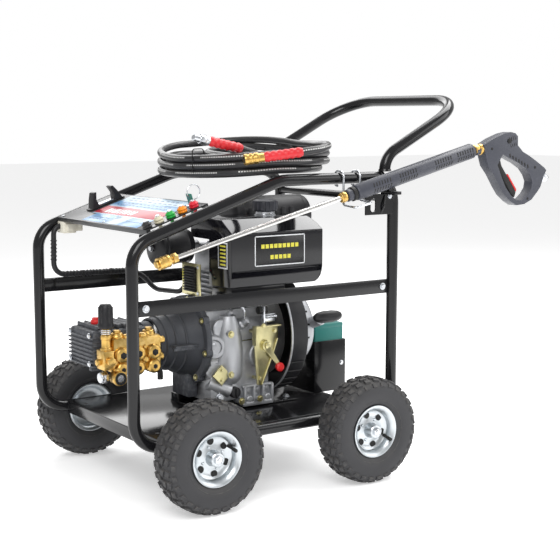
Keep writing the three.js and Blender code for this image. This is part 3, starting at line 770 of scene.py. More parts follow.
def make_wire_hook():
    wire = bent_tube([
        (567, 6, 723.4, 0), (567, 17.6, 723.4, 10), (567, 17.6, 758.6, 14), (567, -17.6, 758.6, 14),
        (567, -17.6, 678, 8), (567, -66, 674, 8), (617, -66, 684, 8), (617, -17.6, 688, 8),
        (617, -17.6, 758.6, 14), (617, 17.6, 758.6, 14), (617, 17.6, 723.4, 10), (617, 6, 723.4, 0)],
        2.8, 16, step_degrees=12)
    done(wire, "lance_wire_hook", ZINC, ["lance_hook"])


make_wire_hook()


# ---- wheels ----
WHEEL_R = 130
VALVE_AT, VALVE_AXIS = (FRONT_REACH + 30, HALF_TRACK - 14, 36), (0.1, -1, -0.15)
WHEEL_MODEL = (FRONT_REACH, HALF_TRACK, 0)  # the origin, where one wheel is built to be copied
AXLES = {"front": 155, "rear": 607}
BLOCKS_ROUND = 30


def make_tread_block(turn, across, size, twist, lean, radius):
    """One rubber lug, its top drawn in and its foot sunk in the carcass."""
    lug = unit_box(size)
    apply_place(lug)
    edit(lug)
    bpy.ops.mesh.select_all(action="DESELECT")
    leave_edit()
    for polygon in lug.data.polygons:
        polygon.select = polygon.normal.z > 0.9
    edit(lug)
    bpy.ops.transform.resize(value=(0.82, 0.86, 1))
    leave_edit()
    round_wheel = Quaternion(Y, turn)
    return put(lug, round_wheel @ Quaternion(X, lean) @ Quaternion(Z, twist),
               round_wheel @ Vector((0, across * MM, radius * MM)))


def make_tyre():
    """A block-tread tyre round the origin, its axle along Y."""
    half = [(57, -30), (65.5, -30.6), (70, -35), (78, -39.5), (92, -42), (106, -41.6), (116, -38.5),
            (122.5, -31),
            (124.6, -20), (125.4, -8)]
    profile = half + [(r, -a) for r, a in reversed(half)] + [half[0]]
    carcass = lathe(profile, WHEEL_MODEL, Y, 72, closed=True)
    lugs = []
    for i in range(BLOCKS_ROUND):
        step = 2 * math.pi / BLOCKS_ROUND
        for row, (across, shift) in enumerate(((-8.5, 0.0), (8.5, 0.5))):
            lugs.append(make_tread_block((i + shift) * step, across, (18, 13, 9),
                                         0.35 if row else -0.35, 0, 125.5))
        for side in (-1, 1):
            lugs.append(make_tread_block((i + 0.25 + side * 0.25) * step, side * 25.5, (17, 13, 9),
                                         0.3 * side, -side * 0.28, 123.6))
            lugs.append(make_tread_block((i + 0.75 + side * 0.25) * step, side * 37.6, (15, 11, 6),
                                         0, -side * 1.02, 115.6))
    for side in (-1, 1):
        bead = lathe([(76, 38.2), (77.5, 39.9), (79, 39.2), (76, 38.2)], WHEEL_MODEL, Y * side,
                     64, closed=True)
        lugs.append(bead)
    tyre = merge([carcass, *lugs])
    return soften(tyre, 0, smooth=38)


def make_rim():
    """A pressed rim: deep dish, rolled flange, hub and rivets; make_wheels adds the valve and lays painted
    shade discs where the dish's round openings are.
    """
    flange = [(58, -31), (62, -31), (64.5, -33), (64, -35.2), (61.5, -35), (58, -32.5), (54, -30), (51, -24),
              (49, -16), (44, -12), (34, -10), (26, -13), (19, -14), (19, -10), (26, -9), (34, -6), (45, -8),
              (51, -12), (53, -20), (54.5, -28), (58, -31)]
    outer = lathe(flange, WHEEL_MODEL, Y, 56, closed=True)
    inner = lathe([(r, -a) for r, a in flange], WHEEL_MODEL, Y, 56, closed=True)
    barrel = lathe([(53, -28), (53, 28), (55, 28), (55, -28), (53, -28)], WHEEL_MODEL, Y, 56,
                   closed=True)
    hub = lathe([(9.2, -38), (15, -38), (17, -36), (17, -22), (19.5, -14), (19.5, 14), (17, 22), (17, 36),
                 (15, 38), (9.2, 38), (9.2, -38)], WHEEL_MODEL, Y, 36, closed=True)
    rivets = [lathe([(3.6, 0), (3.6, 2.4), (2.4, 4)], place, -Y, 12) for place in (
        (FRONT_REACH + 27 * math.cos(a), HALF_TRACK - 12.5, 27 * math.sin(a))
        for a in (math.pi / 4 + k * math.pi / 2 for k in range(4)))]
    rim = merge([outer, inner, barrel, hub, *rivets])
    return soften(rim, 0, smooth=40)


def make_wheels():
    tyre, rim = make_tyre(), make_rim()
    # Dark discs on the dish stand for the rim's round openings, which are not cut: painted shade.
    hole_shade_model = merge([lathe([(8.2, 0), (8.2, 1)], (
        FRONT_REACH + 38.5 * math.cos(k * math.pi / 3), HALF_TRACK - 12.2, 38.5 * math.sin(k * math.pi / 3)),
        Y, 24)
        for k in range(6)])
    valve_model = merge([
        lathe([(4.4, 0), (3.6, 10), (3.4, 24)], VALVE_AT, VALVE_AXIS, 16),
        lathe([(4.4, 20), (4.4, 31), (3.2, 33)], VALVE_AT, VALVE_AXIS, 12)])
    for end, x in AXLES.items():
        for side, y, outside in (("left", -66.5, -1), ("right", TRACK + 66.5, 1)):
            wheel = f"wheel_{end}_{side}"
            spin = Quaternion(Y, 0.4 if end == "front" else 1.3)
            for model, name, material, nodes in (
                    (tyre, "tread_tyre", TYRE, [f"tyre_{end}_{side}"]),
                    (rim, "pressed_rim", RIM_ZINC, [f"rim_{end}_{side}"]),
                    (hole_shade_model, "rim_hole_shade", GASKET, []), (valve_model, "valve_stem", GASKET, [])):
                half_turn = Quaternion(Z, math.pi) if outside > 0 else Quaternion()
                piece = put(copy_of(model), half_turn @ spin, at(x, y, WHEEL_R))
                done(piece, f"{name}_{end}_{side}", material, nodes, body=wheel)
        axle = lathe([(5, 0), (8, 2), (8, 716), (5, 719)], (x, -112, WHEEL_R), Y, 24)
        nuts = []
        for y, axis in ((-104, -Y), (TRACK + 104, Y)):
            nuts.append(lathe([(11, -1), (11, 5), (9, 6.5)], (x, y, WHEEL_R), axis, 6))
            nuts.append(lathe([(13.5, -3), (13.5, -1.2)], (x, y, WHEEL_R), axis, 28))
            nuts.append(rod(1.5, 20, (x - 10, y + axis.y * 3, WHEEL_R), X, 8, 0))
        done(merge([axle, *nuts]), f"axle_and_nuts_{end}", ZINC, [f"axle_{end}"])
    for model in (tyre, rim, hole_shade_model, valve_model):
        bpy.data.objects.remove(model)


make_wheels()


# ---- engine ----
CASE_BOLTS = ((340, 132, 362), (340, 132, 262), (376, 140, 190), (430, 140, 190))


def make_crankcase():
    parts = [
        lathe([(84, 292), (92, 294), (96, 300), (96, 330), (90, 334), (90, 352), (96, 356), (96, 470)],
              (0, CRANK_Y, 322), X, 64, 1.5),
        block((296, 468), (156, 340), (190.5, 322), 5),
        block((384, 476), (158, 338), (171.5, 213), 4),
        block((300, 465), (182, 314), (322, 416), 6),
        lathe([(20, 0), (18, 4), (16, 16), (18, 30), (20, 60)], (357, 150.5, 214), Y, 28, 1),
        lathe([(62, 289.5), (62, 296), (58, 299)], (0, CRANK_Y, 330), X, 48, 1),
        lathe([(26, 0), (26, 8), (22, 11)], (330, 166, 372), -Y, 32, 1),
        lathe([(34, 0), (34, 5), (30, 9), (14, 9), (14, 12)], (440, 158, 300), -Y, 36, 1),
        lathe([(24, 236), (32, 244), (36, 260), (37, 320), (35, 350), (28, 376), (20, 404)], (352, 166, 0), Z,
              40, 1),
        lathe([(30, -24), (30, 4), (27, 8), (19, 8), (17, 5), (6, 5), (6, 7)], (306, 158, 330), (-0.4, -1, 0),
              40, 1),
        lathe([(24, -20), (24, 4), (20, 8)], (312, 162, 268), (-0.3, -1, 0), 32, 1),
        lathe([(17, 0), (17, 60)], (296, 170, 240), (0.88, -0.28, -0.38), 28, 1),
        block((384, 476), (148, 160), (218, 226), 3), block((384, 476), (146, 160), (172, 184), 3),
    ]
    for i in range(4):
        x = 388 + i * 27
        parts.append(block((x, x + 7), (146, 162), (176, 224), 2))
        if i < 3:
            parts.append(lathe([(9, -4), (9, 12), (7, 14)], (x + 17, 160, 190), -Y, 24, 0.6))
            parts.append(lathe([(6, -4), (6, 8)], (x + 17, 160, 212), -Y, 20, 0.6))
    for x, y, z in CASE_BOLTS:
        parts.append(lathe([(9, -1), (9, 24), (11, 30)], (x, y, z), Y, 24, 0.8))
    done(merge(parts), "engine_case", CAST_METAL, ["crankcase"])
    gasket = block((298, 467), (152.5, 155), (338, 341), 0.4)
    done(gasket, "case_gasket", ZINC)
    heads = bolts(CASE_BOLTS, -Y, 6.5)
    flange = lathe([(26, 0), (26, 5), (24, 6)], (316, 142, 262), -Y, 4, 0.8)
    done(merge([heads, flange, bolts([(316, 136, 250), (316, 136, 275)], -Y, 4)]), "engine_case_bolts",
         YELLOW_ZINC)
    done(bolts(ring_places((289.5, CRANK_Y, 330), 50, 6), -X, 5), "cover_bolts", ZINC)


make_crankcase()


def make_engine_top():
    done(refined("cylinder_barrel", 1.0), "finned_cylinder", CAST_METAL, ["cylinder_barrel"])
    done(refined("rocker_cover", 5, 3), "valve_cover", CAST_METAL, ["rocker_cover"])
    done(bolts([(360, 262, 575), (418, 262, 575)], Z, 6), "valve_cover_bolts", ZINC)
    done(refined("engine_mount", 1.2), "engine_riser", POWDER_COAT, ["engine_mount"])
    done(bolts([(398, 180, 171.4), (398, 318, 171.4), (545, 190, 171.4), (545, 306, 171.4)], Z, 6.5),
         "riser_bolts", ZINC)
    shroud = refined("fan_shroud", 3, 3)
    ribs = []
    for i in range(16):
        angle = math.radians(205 + i * 10.5)
        ribs.append(lathe([(1.6, 497), (1.6, 543)], (0, CRANK_Y + 156.6 * math.cos(angle),
                                                      CRANK_Z + 156.6 * math.sin(angle)), X, 8))
    done(merge([shroud, *ribs]), "fan_housing", BLACK_PLASTIC, ["fan_shroud"])
    rim = lathe([(157.5, 491.5), (160, 492), (160, 496), (157.5, 496.5), (157.5, 491.5)],
                CRANK_LINE, X, 96, closed=True)
    edit_all(rim)
    bpy.ops.mesh.bisect(plane_co=tuple(at(0, 0, 469)), plane_no=(0, 0, 1), clear_outer=True, use_fill=True)
    leave_edit()
    done(rim, "fan_backplate_rim", CAST_METAL)
    cover = lathe([(95, 545.5), (101, 545.5), (101, 552), (98, 560), (98, 596), (92, 608), (78, 618),
                   (70, 619),
                   (64, 625), (30, 628), (22, 628)], CRANK_LINE, X, 72, 0.8)
    guide = lathe([(15, -86), (15, -32), (12, -30)], GRIP_AT, PULL, 28, 1)
    done(merge([cover, guide]), "starter_cover", CAST_METAL, ["recoil_cover"])
    # Dark strips on the cover stand for its vent slots, which are not cut: painted shade.
    slots = []
    for k in range(18):
        turn = Quaternion(X, k * 2 * math.pi / 18)
        slots.append(put(unit_box((26, 5, 1.2)), turn, at(578, CRANK_Y, CRANK_Z) + turn @ (Z * 98.2 * MM)))
    done(soften(merge(slots), 0.4), "starter_cover_slot_shade", GASKET)
    done(bolts(ring_places((545, CRANK_Y, CRANK_Z), 112, 4, 0.6), X, 5), "starter_cover_bolts", ZINC)


PULL = Vector((0, -0.94, 0.342)).normalized()
GRIP_AT = (604, 92, 388)


def make_pull_grip():
    """The recoil grip: a flat-topped bar with finger scallops, on its stem."""
    bar = lathe([(5, -42), (9, -39), (13, -30), (15.4, -12), (15, 0), (15.4, 12), (13, 30), (9, 39), (5, 42)],
                GRIP_AT, X, 32)
    stem = lathe([(9, -29), (9, -16), (11, -8), (8, 4)], GRIP_AT, PULL, 28)
    done(merge([bar, stem]), "starter_grip", BLACK_PLASTIC, ["recoil_handle"], body="recoil")
    rope = rod(2.2, 34, along(GRIP_AT, PULL, -62), PULL, 10, 0)
    done(rope, "starter_rope", LABEL_BLACK, body="recoil")


make_engine_top()
make_pull_grip()


def make_crankshaft():
    shaft = lathe([(14, 182), (14, 196), (48, 196), (48, 240), (18, 240), (18, 500), (116, 500), (116, 532),
                   (60, 532), (60, 590)], CRANK_LINE, X, 40)
    done(shaft, "crank_and_flywheel", STAINLESS, ["crankshaft"], body="crank")


make_crankshaft()


TANK_NECK = (486, 200)


def make_tank():
    tank = refined("fuel_tank", 9, 5, smooth=50)
    done(tank, "fuel_tank_shell", TANK_PAINT, ["fuel_tank"])
    creases = [block((334, 580), (99.2, 101), z, 0.5) for z in ((516.6, 518.4), (607.2, 609))]
    done(merge(creases), "tank_creases", TANK_PAINT)
    done(block((330, 488), (114, 204), (452, 479), 3), "tank_cradle", POWDER_COAT)
    skirt = lathe([(27, 640), (27, 645), (24, 646), (24, 653), (22, 654)], (*TANK_NECK, 0), Z, 32, 0.4)
    done(skirt, "tank_neck", ZINC)
    profile = [(30, 654.5), (31, 656), (31, 676), (29, 680), (24, 682.3), (10, 682.5)]
    cap = lathe(profile, (*TANK_NECK, 0), Z, 48, 0.6)
    ribs = [lathe([(2.2, 657), (2.2, 677), (1.2, 679)], spot, Z, 10)
            for spot in upright_places(TANK_NECK, 30.2, 18)]
    done(merge([cap, *ribs]), "tank_cap", SHEENED_CAP_PLASTIC, ["fuel_cap"], body="cap")
    near = 99.7
    done(block((388, 537), (near - 0.5, near), (528, 602), 0.08), "tank_label", LABEL_BLACK)
    edge = [block((388, 537), (near - 0.9, near - 0.45), z, 0.08) for z in ((528, 530.4), (599.6, 602))]
    edge += [block(x, (near - 0.9, near - 0.45), (528, 602), 0.08) for x in ((388, 390.4), (534.6, 537))]
    done(merge(edge), "tank_label_border", LABEL_WHITE)
    dashes = []
    for z, count, first in ((576, 9, 407), (549, 5, 434)):
        for k in range(count):
            dashes.append(block((first + k * 12.6, first + k * 12.6 + 9.4), (near - 0.95, near - 0.45),
                                (z - 5, z + 5), 0))
    done(merge(dashes), "tank_label_dashes", LABEL_YELLOW)
    done(block((321.1, 321.7), (118, 160), (524, 588), 0.08), "tank_side_label", LABEL_WHITE)
    done(block((320.7, 321.2), (121, 157), (527, 585), 0.08), "tank_side_label_face", LABEL_BLACK)
    marks = [block((320.4, 320.8), (125, 150), (532 + k * 9, 536 + k * 9), 0.08) for k in range(6)]
    done(merge(marks), "tank_side_label_marks", LABEL_YELLOW)


make_tank()


def make_filter_and_muffler():
    body = lathe([(8, 212), (9, 214), (9, 219), (34, 220.5), (42, 223), (45.5, 227), (45.5, 236), (44.5, 238),
                  (45.5, 240), (45.5, 244), (42.2, 246), (42.2, 300), (43.4, 302), (42.2, 304), (42, 316),
                  (36, 318)], (0, 300, 567), X, 56, 0.5)
    done(body, "air_filter_can", BLACK_PLASTIC, ["air_filter"])
    done(hex_bolt((214, 300, 567), -X, 7), "air_filter_nut", ZINC)
    can = lathe([(30, 466), (44, 468), (52, 474), (55, 482), (55, 490), (56.2, 492), (55, 494), (55, 684),
                 (56.2, 686), (55, 688), (55, 696), (52, 704), (44, 710), (30, 712)], (0, 352, 627), X, 56,
                0.5)
    pipe = bent_tube([(484, 352, 590, 0), (484, 352, 540, 16), (442, 352, 540, 0)], 15, 24)
    slots = [block((500 + k * 26, 514 + k * 26), (296.4, 298), (600, 654), 0.5) for k in range(6)]
    done(merge([can, pipe, *slots]), "exhaust_muffler", BLACK_PLASTIC, ["muffler"])
    stub = rod(14, 30, (316, 300, 567), X, 24)
    done(stub, "inlet_elbow", CAST_METAL)


make_filter_and_muffler()


def make_controls():
    """The speed control on the engine's side: plate, posts, springs, lever and dipstick."""
    plate = refined("governor_plate", 0.8)
    fold = block((398, 474), (110, 126), (374, 378), 0.8)
    upstand = block((398, 402), (108, 126), (330, 378), 0.8)
    rims = [bent_tube([(411, 121.5, 232, 0), (400, 121.5, 372, 0)], 2.6, 10),
            bent_tube([(424, 121.5, 230, 0), (455, 121.5, 301, 20), (470, 121.5, 342, 0)], 2.2, 10),
            lathe([(13, -1.5), (17, -1.5), (17, 1.5), (13, 1.5), (13, -1.5)], (435, 121.5, 327), Y, 32,
                  closed=True)]
    done(merge([plate, fold, upstand, *rims]), "speed_plate", YELLOW_ZINC, ["governor_plate"])
    done(bolts([(410, 122, 362), (462, 122, 362), (418, 122, 244), (420, 110, 378)], -Y, 5),
         "speed_plate_bolts",
         YELLOW_ZINC)
    arm = refined("speed_lever", 0.7)
    lift = lathe([(6, 0), (9, 1), (9, 5), (5, 7)], (435, 113, 327), -Y, 24)
    done(merge([arm, lift]), "speed_arm", YELLOW_ZINC, ["speed_lever"], body="speed")
    knob = lathe([(6, 0), (10, 1.5), (11.4, 6), (11, 11), (7, 14)], (472, 121, 270), -Y, 32)
    done(knob, "speed_knob", LOCK_RED, body="speed")
    bracket = [block((426, 470), (128, 131), (384, 404), 0.8), block((426, 430), (116, 131), (384, 426), 0.8)]
    done(merge(bracket), "stop_bracket", ZINC)
    spring = []
    for k in range(18):
        spring.append(lathe([(3.4, 0), (4.4, 0), (4.4, 1.1), (3.4, 1.1), (3.4, 0)], (436 + k * 1.7, 122, 398),
                            X, 14,
                            closed=True))
    done(merge(spring), "governor_spring", ZINC)
    done(rod(10, 24, (420, 134, 414), X, 24), "stop_solenoid", GASKET)
    plug = lathe([(12, 0), (14, 1.5), (14, 14), (12.5, 16)], (357, 150.4, 214), -Y, 36, 0.4)
    grip = block((354.5, 359.5), (130, 137), (203.5, 224.5), 1.2)
    done(merge([plug, grip]), "oil_filler_plug", BLACK_PLASTIC, ["oil_dipstick"], body="dipstick")
    drain = bolts([(320, 154, 202)], -Y, 9)
    done(drain, "oil_drain_plug", ZINC)
    pump = [lathe([(13, 0), (13, 20), (9, 24), (9, 40)], (388, 176, 372), (0.25, -1, 0.6), 24, 0.6),
            lathe([(7, 0), (7, 30)], (352, 176, 396), (0.1, -1, 0.9), 6, 0.5)]
    done(merge(pump), "injection_pump", CAST_METAL)
    pipe = bent_tube([(390, 150, 392, 0), (384, 138, 420, 16), (352, 160, 446, 18), (344, 205, 462, 0)], 3,
                     12,
                     step_degrees=15)
    done(pipe, "injection_pipe", ZINC)
    fuel_line = bent_tube([(352, 160, 424, 0), (346, 140, 440, 12), (366, 128, 468, 16), (372, 140, 480, 0)],
                          4, 12,
                          step_degrees=15)
    done(fuel_line, "fuel_line", GASKET)


make_controls()


def make_electrics():
    done(refined("starter_motor", 1.5, 3), "electric_starter", DARK_CAST, ["starter_motor"])
    plate = block((284, 288), (186, 270), (452, 532), 0.6)
    done(plate, "regulator_plate", YELLOW_ZINC, ["voltage_regulator"])
    fins = [block((276, 284.4), (202, 254), (464 + k * 6.6, 467.4 + k * 6.6), 0.5) for k in range(9)]
    fins.append(block((280, 284.4), (202, 254), (462, 524), 0.5))
    done(merge(fins), "regulator_body", GASKET)
    done(block((283.2, 283.9), (256, 268), (482, 514), 0.08), "regulator_tag", LABEL_YELLOW)
    done(bolts([(284, 194, 460), (284, 194, 524)], -X, 3.5), "regulator_screws", ZINC)
    route = [(66, 472, 626, 0), (32, 472, 610, 20), (30, 472, 496, 30), (270, 472, 492, 60),
             (300, 440, 442, 40),
             (318, 330, 446, 40), (320, 296, 496, 20), (309, 262, 500, 0)]
    loom = bent_tube(route, 6.6, 16, step_degrees=12)
    places = []
    for a, b in zip(route[1:4], route[2:5]):
        start, end = Vector(a[:3]), Vector(b[:3])
        count = int((end - start).length / 9)
        for k in range(3, count - 3):
            places.append((start.lerp(end, k / count), end - start))
    rings = [lathe([(6.2, -2.4), (8.2, -1.4), (8.2, 1.4), (6.2, 2.4)], tuple(p),
                   (d.normalized() + Vector((random.uniform(-0.2, 0.2) for _ in range(3)))).normalized(), 14)
             for p, d in places]
    done(merge([loom, *rings]), "wiring_sleeve", BLACK_PLASTIC, ["wiring_loom"])
    ties = [lathe([(8, -2), (8.6, -1.4), (8.6, 1.4), (8, 2)], (x, 472, 494), X, 16) for x in (110, 190)]
    done(merge(ties), "wiring_ties", GASKET)
    plug = [block((48, 84), (448, 488), (600, 630), 3), block((84, 104), (454, 482), (604, 627), 2),
            block((56, 76), (444, 449), (606, 624), 1)]
    done(merge(plug), "panel_connector", CREAM)
    for name, material, offset in (("wire_a", WIRE_RED, 0), ("wire_b", WIRE_GREEN, 10),
                                   ("wire_c", WIRE_GREEN, -9)):
        wire = bent_tube([(309, 262 + offset / 3, 500, 0), (300, 262 + offset, 512 + offset, 8),
                          (292, 250 + offset, 490 + offset, 8), (288.4, 246 + offset, 490 + offset, 0)], 2.1,
                         10,
                         step_degrees=20)
        done(wire, f"regulator_{name}", material)


make_electrics()


def make_battery():
    done(refined("battery_box", 1.2), "battery_tray", POWDER_COAT, ["battery_box"])
    case = [block((645, 737), (201, 331), (170.5, 338), 3), block((645, 737), (201, 331), (336, 347), 2)]
    done(merge(case), "battery_block", BATTERY_CASE, ["battery"])
    posts = [lathe([(8, 346), (7, 358)], (660, y, 0), Z, 20, 0.6) for y in (220, 312)]
    done(merge(posts), "battery_posts", ZINC)
    done(bolts([(728, 196, 240)], -Y, 4.5), "battery_tray_bolts", ZINC)
    strap = bent_tube([(640, 266, 240, 0), (640, 266, 352, 6), (742, 266, 352, 6), (742, 266, 240, 0)], 3, 10)
    done(strap, "battery_strap", GASKET)


make_battery()


# ---- drive and pump ----
def make_bell_housing():
    body = lathe([(56, 176), (62, 176), (62.5, 190), (66, 191.5), (66, 194.5), (64, 196), (67, 212),
                  (71, 213.5),
                  (71, 216.5), (69, 218), (75, 236), (79, 238), (79, 241), (77, 243), (92, 270), (93, 276),
                  (110, 276), (110, 290.5), (80, 290.5), (56, 240), (56, 176)], (0, CRANK_Y, 340), X, 72, 0.6,
                 closed=True)
    lug_places = list(ring_places((276, CRANK_Y, 340), 104, 8, 0.2))
    lugs = [lathe([(12, -2), (12, 14.5)], place, X, 20, 0.8) for place in lug_places]
    foot = block((262, 290), (208, 288), (200, 262), 4)
    web = block((196, 276), (160, 166), (330, 338), 1)
    rib = block((200, 284), (158, 338), (337, 342), 1.2)
    parts = merge([body, *lugs, foot, web, rib])
    done(parts, "drive_housing", DARK_CAST, ["bell_housing"])
    done(bolts([(p[0] - 2, p[1], p[2]) for p in lug_places], -X, 6), "drive_housing_bolts", YELLOW_ZINC)


make_bell_housing()


PLUNGERS = (52, 94, 136)
UNLOADER = (20, 170)


def make_pump():
    case = [block((2, 150), (204, 326), (302, 390), 7), block((20, 132), (224, 306), (386, 399), 6)]
    for k in range(8):
        z = 305 + k * 9.6
        case.append(block((-1.5, 149), (201.5, 329), (z, z + 4.2), 1.4))
    for k in range(7):
        x = 18 + k * 18
        case.append(block((x, x + 5), (212, 318), (388, 400), 1.2))
    case.append(lathe([(43, 149), (43, 172), (40, 175)], (0, CRANK_Y, 352), X, 48, 1))
    case.append(block((0, 170), (208, 222), (296, 304), 2))
    done(merge(case), "pump_case", DARK_CAST, ["pump_crankcase"])
    done(bolts([(-1.5, y, z) for y in (214, 316) for z in (313, 380)], -X, 5), "pump_cover_bolts", ZINC)
    done(lathe([(12, 399), (12, 406), (9, 409), (9, 414)], (40, 262, 0), Z, 28, 0.6), "pump_oil_cap",
         LOCK_RED)
    body = [block((32, 160), (156, 203.4), (294, 378), 8)]
    for x in PLUNGERS:
        body.append(lathe([(17, -30), (17, 2), (15, 5), (15, 8), (12, 10)], (x, 178, 378), Z, 36, 0.8))
        body.append(lathe([(19, -20), (19, 5), (17, 8), (17, 10), (13, 12)], (x, 156, 338), -Y, 36, 0.8))
        body.append(lathe([(17, -20), (17, 7), (15, 10), (12, 12)], (x, 156, 304), -Y, 36, 0.8))
        body.append(lathe([(9, 0), (9, 8)], (x, 178, 386), Z, 6, 0.8))
        body.append(lathe([(14, -14), (14, 6), (11, 8)], (x, 178, 300), -Z, 30, 0.8))
    for x in (73, 115):
        body.append(lathe([(8, 0), (8, 5), (6, 7)], (x, 157, 322), -Y, 24, 0.6))
        body.append(lathe([(11, 0), (11, 6), (8, 8)], (x, 166, 376), Z, 24, 0.6))
        body.append(lathe([(5, 0), (5, 5)], (x, 157, 352), -Y, 6, 0.5))
    body.append(lathe([(17, 0), (17.6, 3), (17.6, 12), (16, 13), (16, 30)], (41, 139, 286), Y, 40, 0.6))
    body.append(lathe([(9, 0), (9, 16), (7, 18)], (160, 178, 360), X, 6, 0.8))
    body.append(lathe([(10, 0), (10, 12), (8, 14)], (160, 178, 320), X, 28, 0.8))
    done(merge(body), "pump_head", BRASS, ["pump_manifold"])
    plugs = []
    for x in PLUNGERS:
        plugs.append(lathe([(8.5, 0), (8.5, 1.5), (6.5, 2.2)], (x, 144.2, 338), -Y, 6, 0.3))
        plugs.append(lathe([(6, 0), (6, 1)], (x, 144.2, 304), -Y, 6, 0))
    done(merge(plugs), "pump_head_plugs", GASKET)
    ring = lathe([(9, -2), (14.5, -2), (14.5, 0.5), (9, 0.5), (9, -2)], (41, 138.6, 286), Y, 40, closed=True)
    done(ring, "water_inlet_ring", GASKET)
    done(lathe([(8.4, -0.6), (8.4, 0.6)], (41, 139.2, 286), Y, 32), "water_inlet_strainer", ZINC)
    adaptor = merge([lathe([(13, 0), (13, 16), (11, 18)], (22, 176, 286), -X, 28, 0.6),
                     lathe([(15, 2), (15, 12)], (24, 176, 286), -X, 6, 0.8)])
    done(adaptor, "water_inlet_adaptor", ZINC)
    elbow = bent_tube([(150, 176, 300, 0), (166, 176, 284, 12), (166, 176, 264, 0)], 7, 20, step_degrees=12)
    done(elbow, "bypass_elbow", GASKET)
    valve = [block((4, 31.5), (150, 190), (306, 352), 3),
             lathe([(14, 340), (14, 356), (11, 358), (11, 376), (12.5, 377), (12.5, 386), (9, 388), (9, 402)],
                   (*UNLOADER, 0), Z, 36, 0.5),
             lathe([(9, 0), (9, 6), (11, 6), (11, 14)], (18, 150, 328), -Y, 6, 0.6),
             lathe([(8, 0), (8, 10)], (4, 170, 324), -X, 6, 0.6)]
    done(merge(valve), "pressure_regulator", BRASS, ["unloader_valve"])
    coils = [lathe([(9.4, z), (11.6, z + 0.6), (11.6, z + 2.2), (9.4, z + 2.8)], (*UNLOADER, 0), Z, 24)
             for z in range(389, 400, 4)]
    done(merge(coils), "regulator_spring", ZINC)
    knob = lathe([(17, 402.5), (19.4, 404), (19.4, 411), (17.4, 416), (16, 440), (15.4, 454), (12, 459)],
                 (*UNLOADER, 0), Z, 40, 0.5)
    flutes = [lathe([(1.8, 414), (1.4, 453)], spot, Z, 8) for spot in upright_places(UNLOADER, 16, 12)]
    done(merge([knob, *flutes]), "pressure_dial", BLACK_PLASTIC, ["pressure_knob"], body="pressure")


make_pump()


# ---- control panel ----
PANEL_AT = Vector((64, 0, 646))
PANEL_TURN = Quaternion(Y, -SLOPE)
PANEL_NORMAL = PANEL_TURN @ Z


def on_panel(obj):
    """Moves a piece built flat at the front post's foot onto the tilted panel."""
    return put(obj, PANEL_TURN, at(*PANEL_AT) - PANEL_TURN @ at(0, 0, 0))


def panel_point(a, y, up):
    return PANEL_TURN @ Vector((a, y, up)) + PANEL_AT


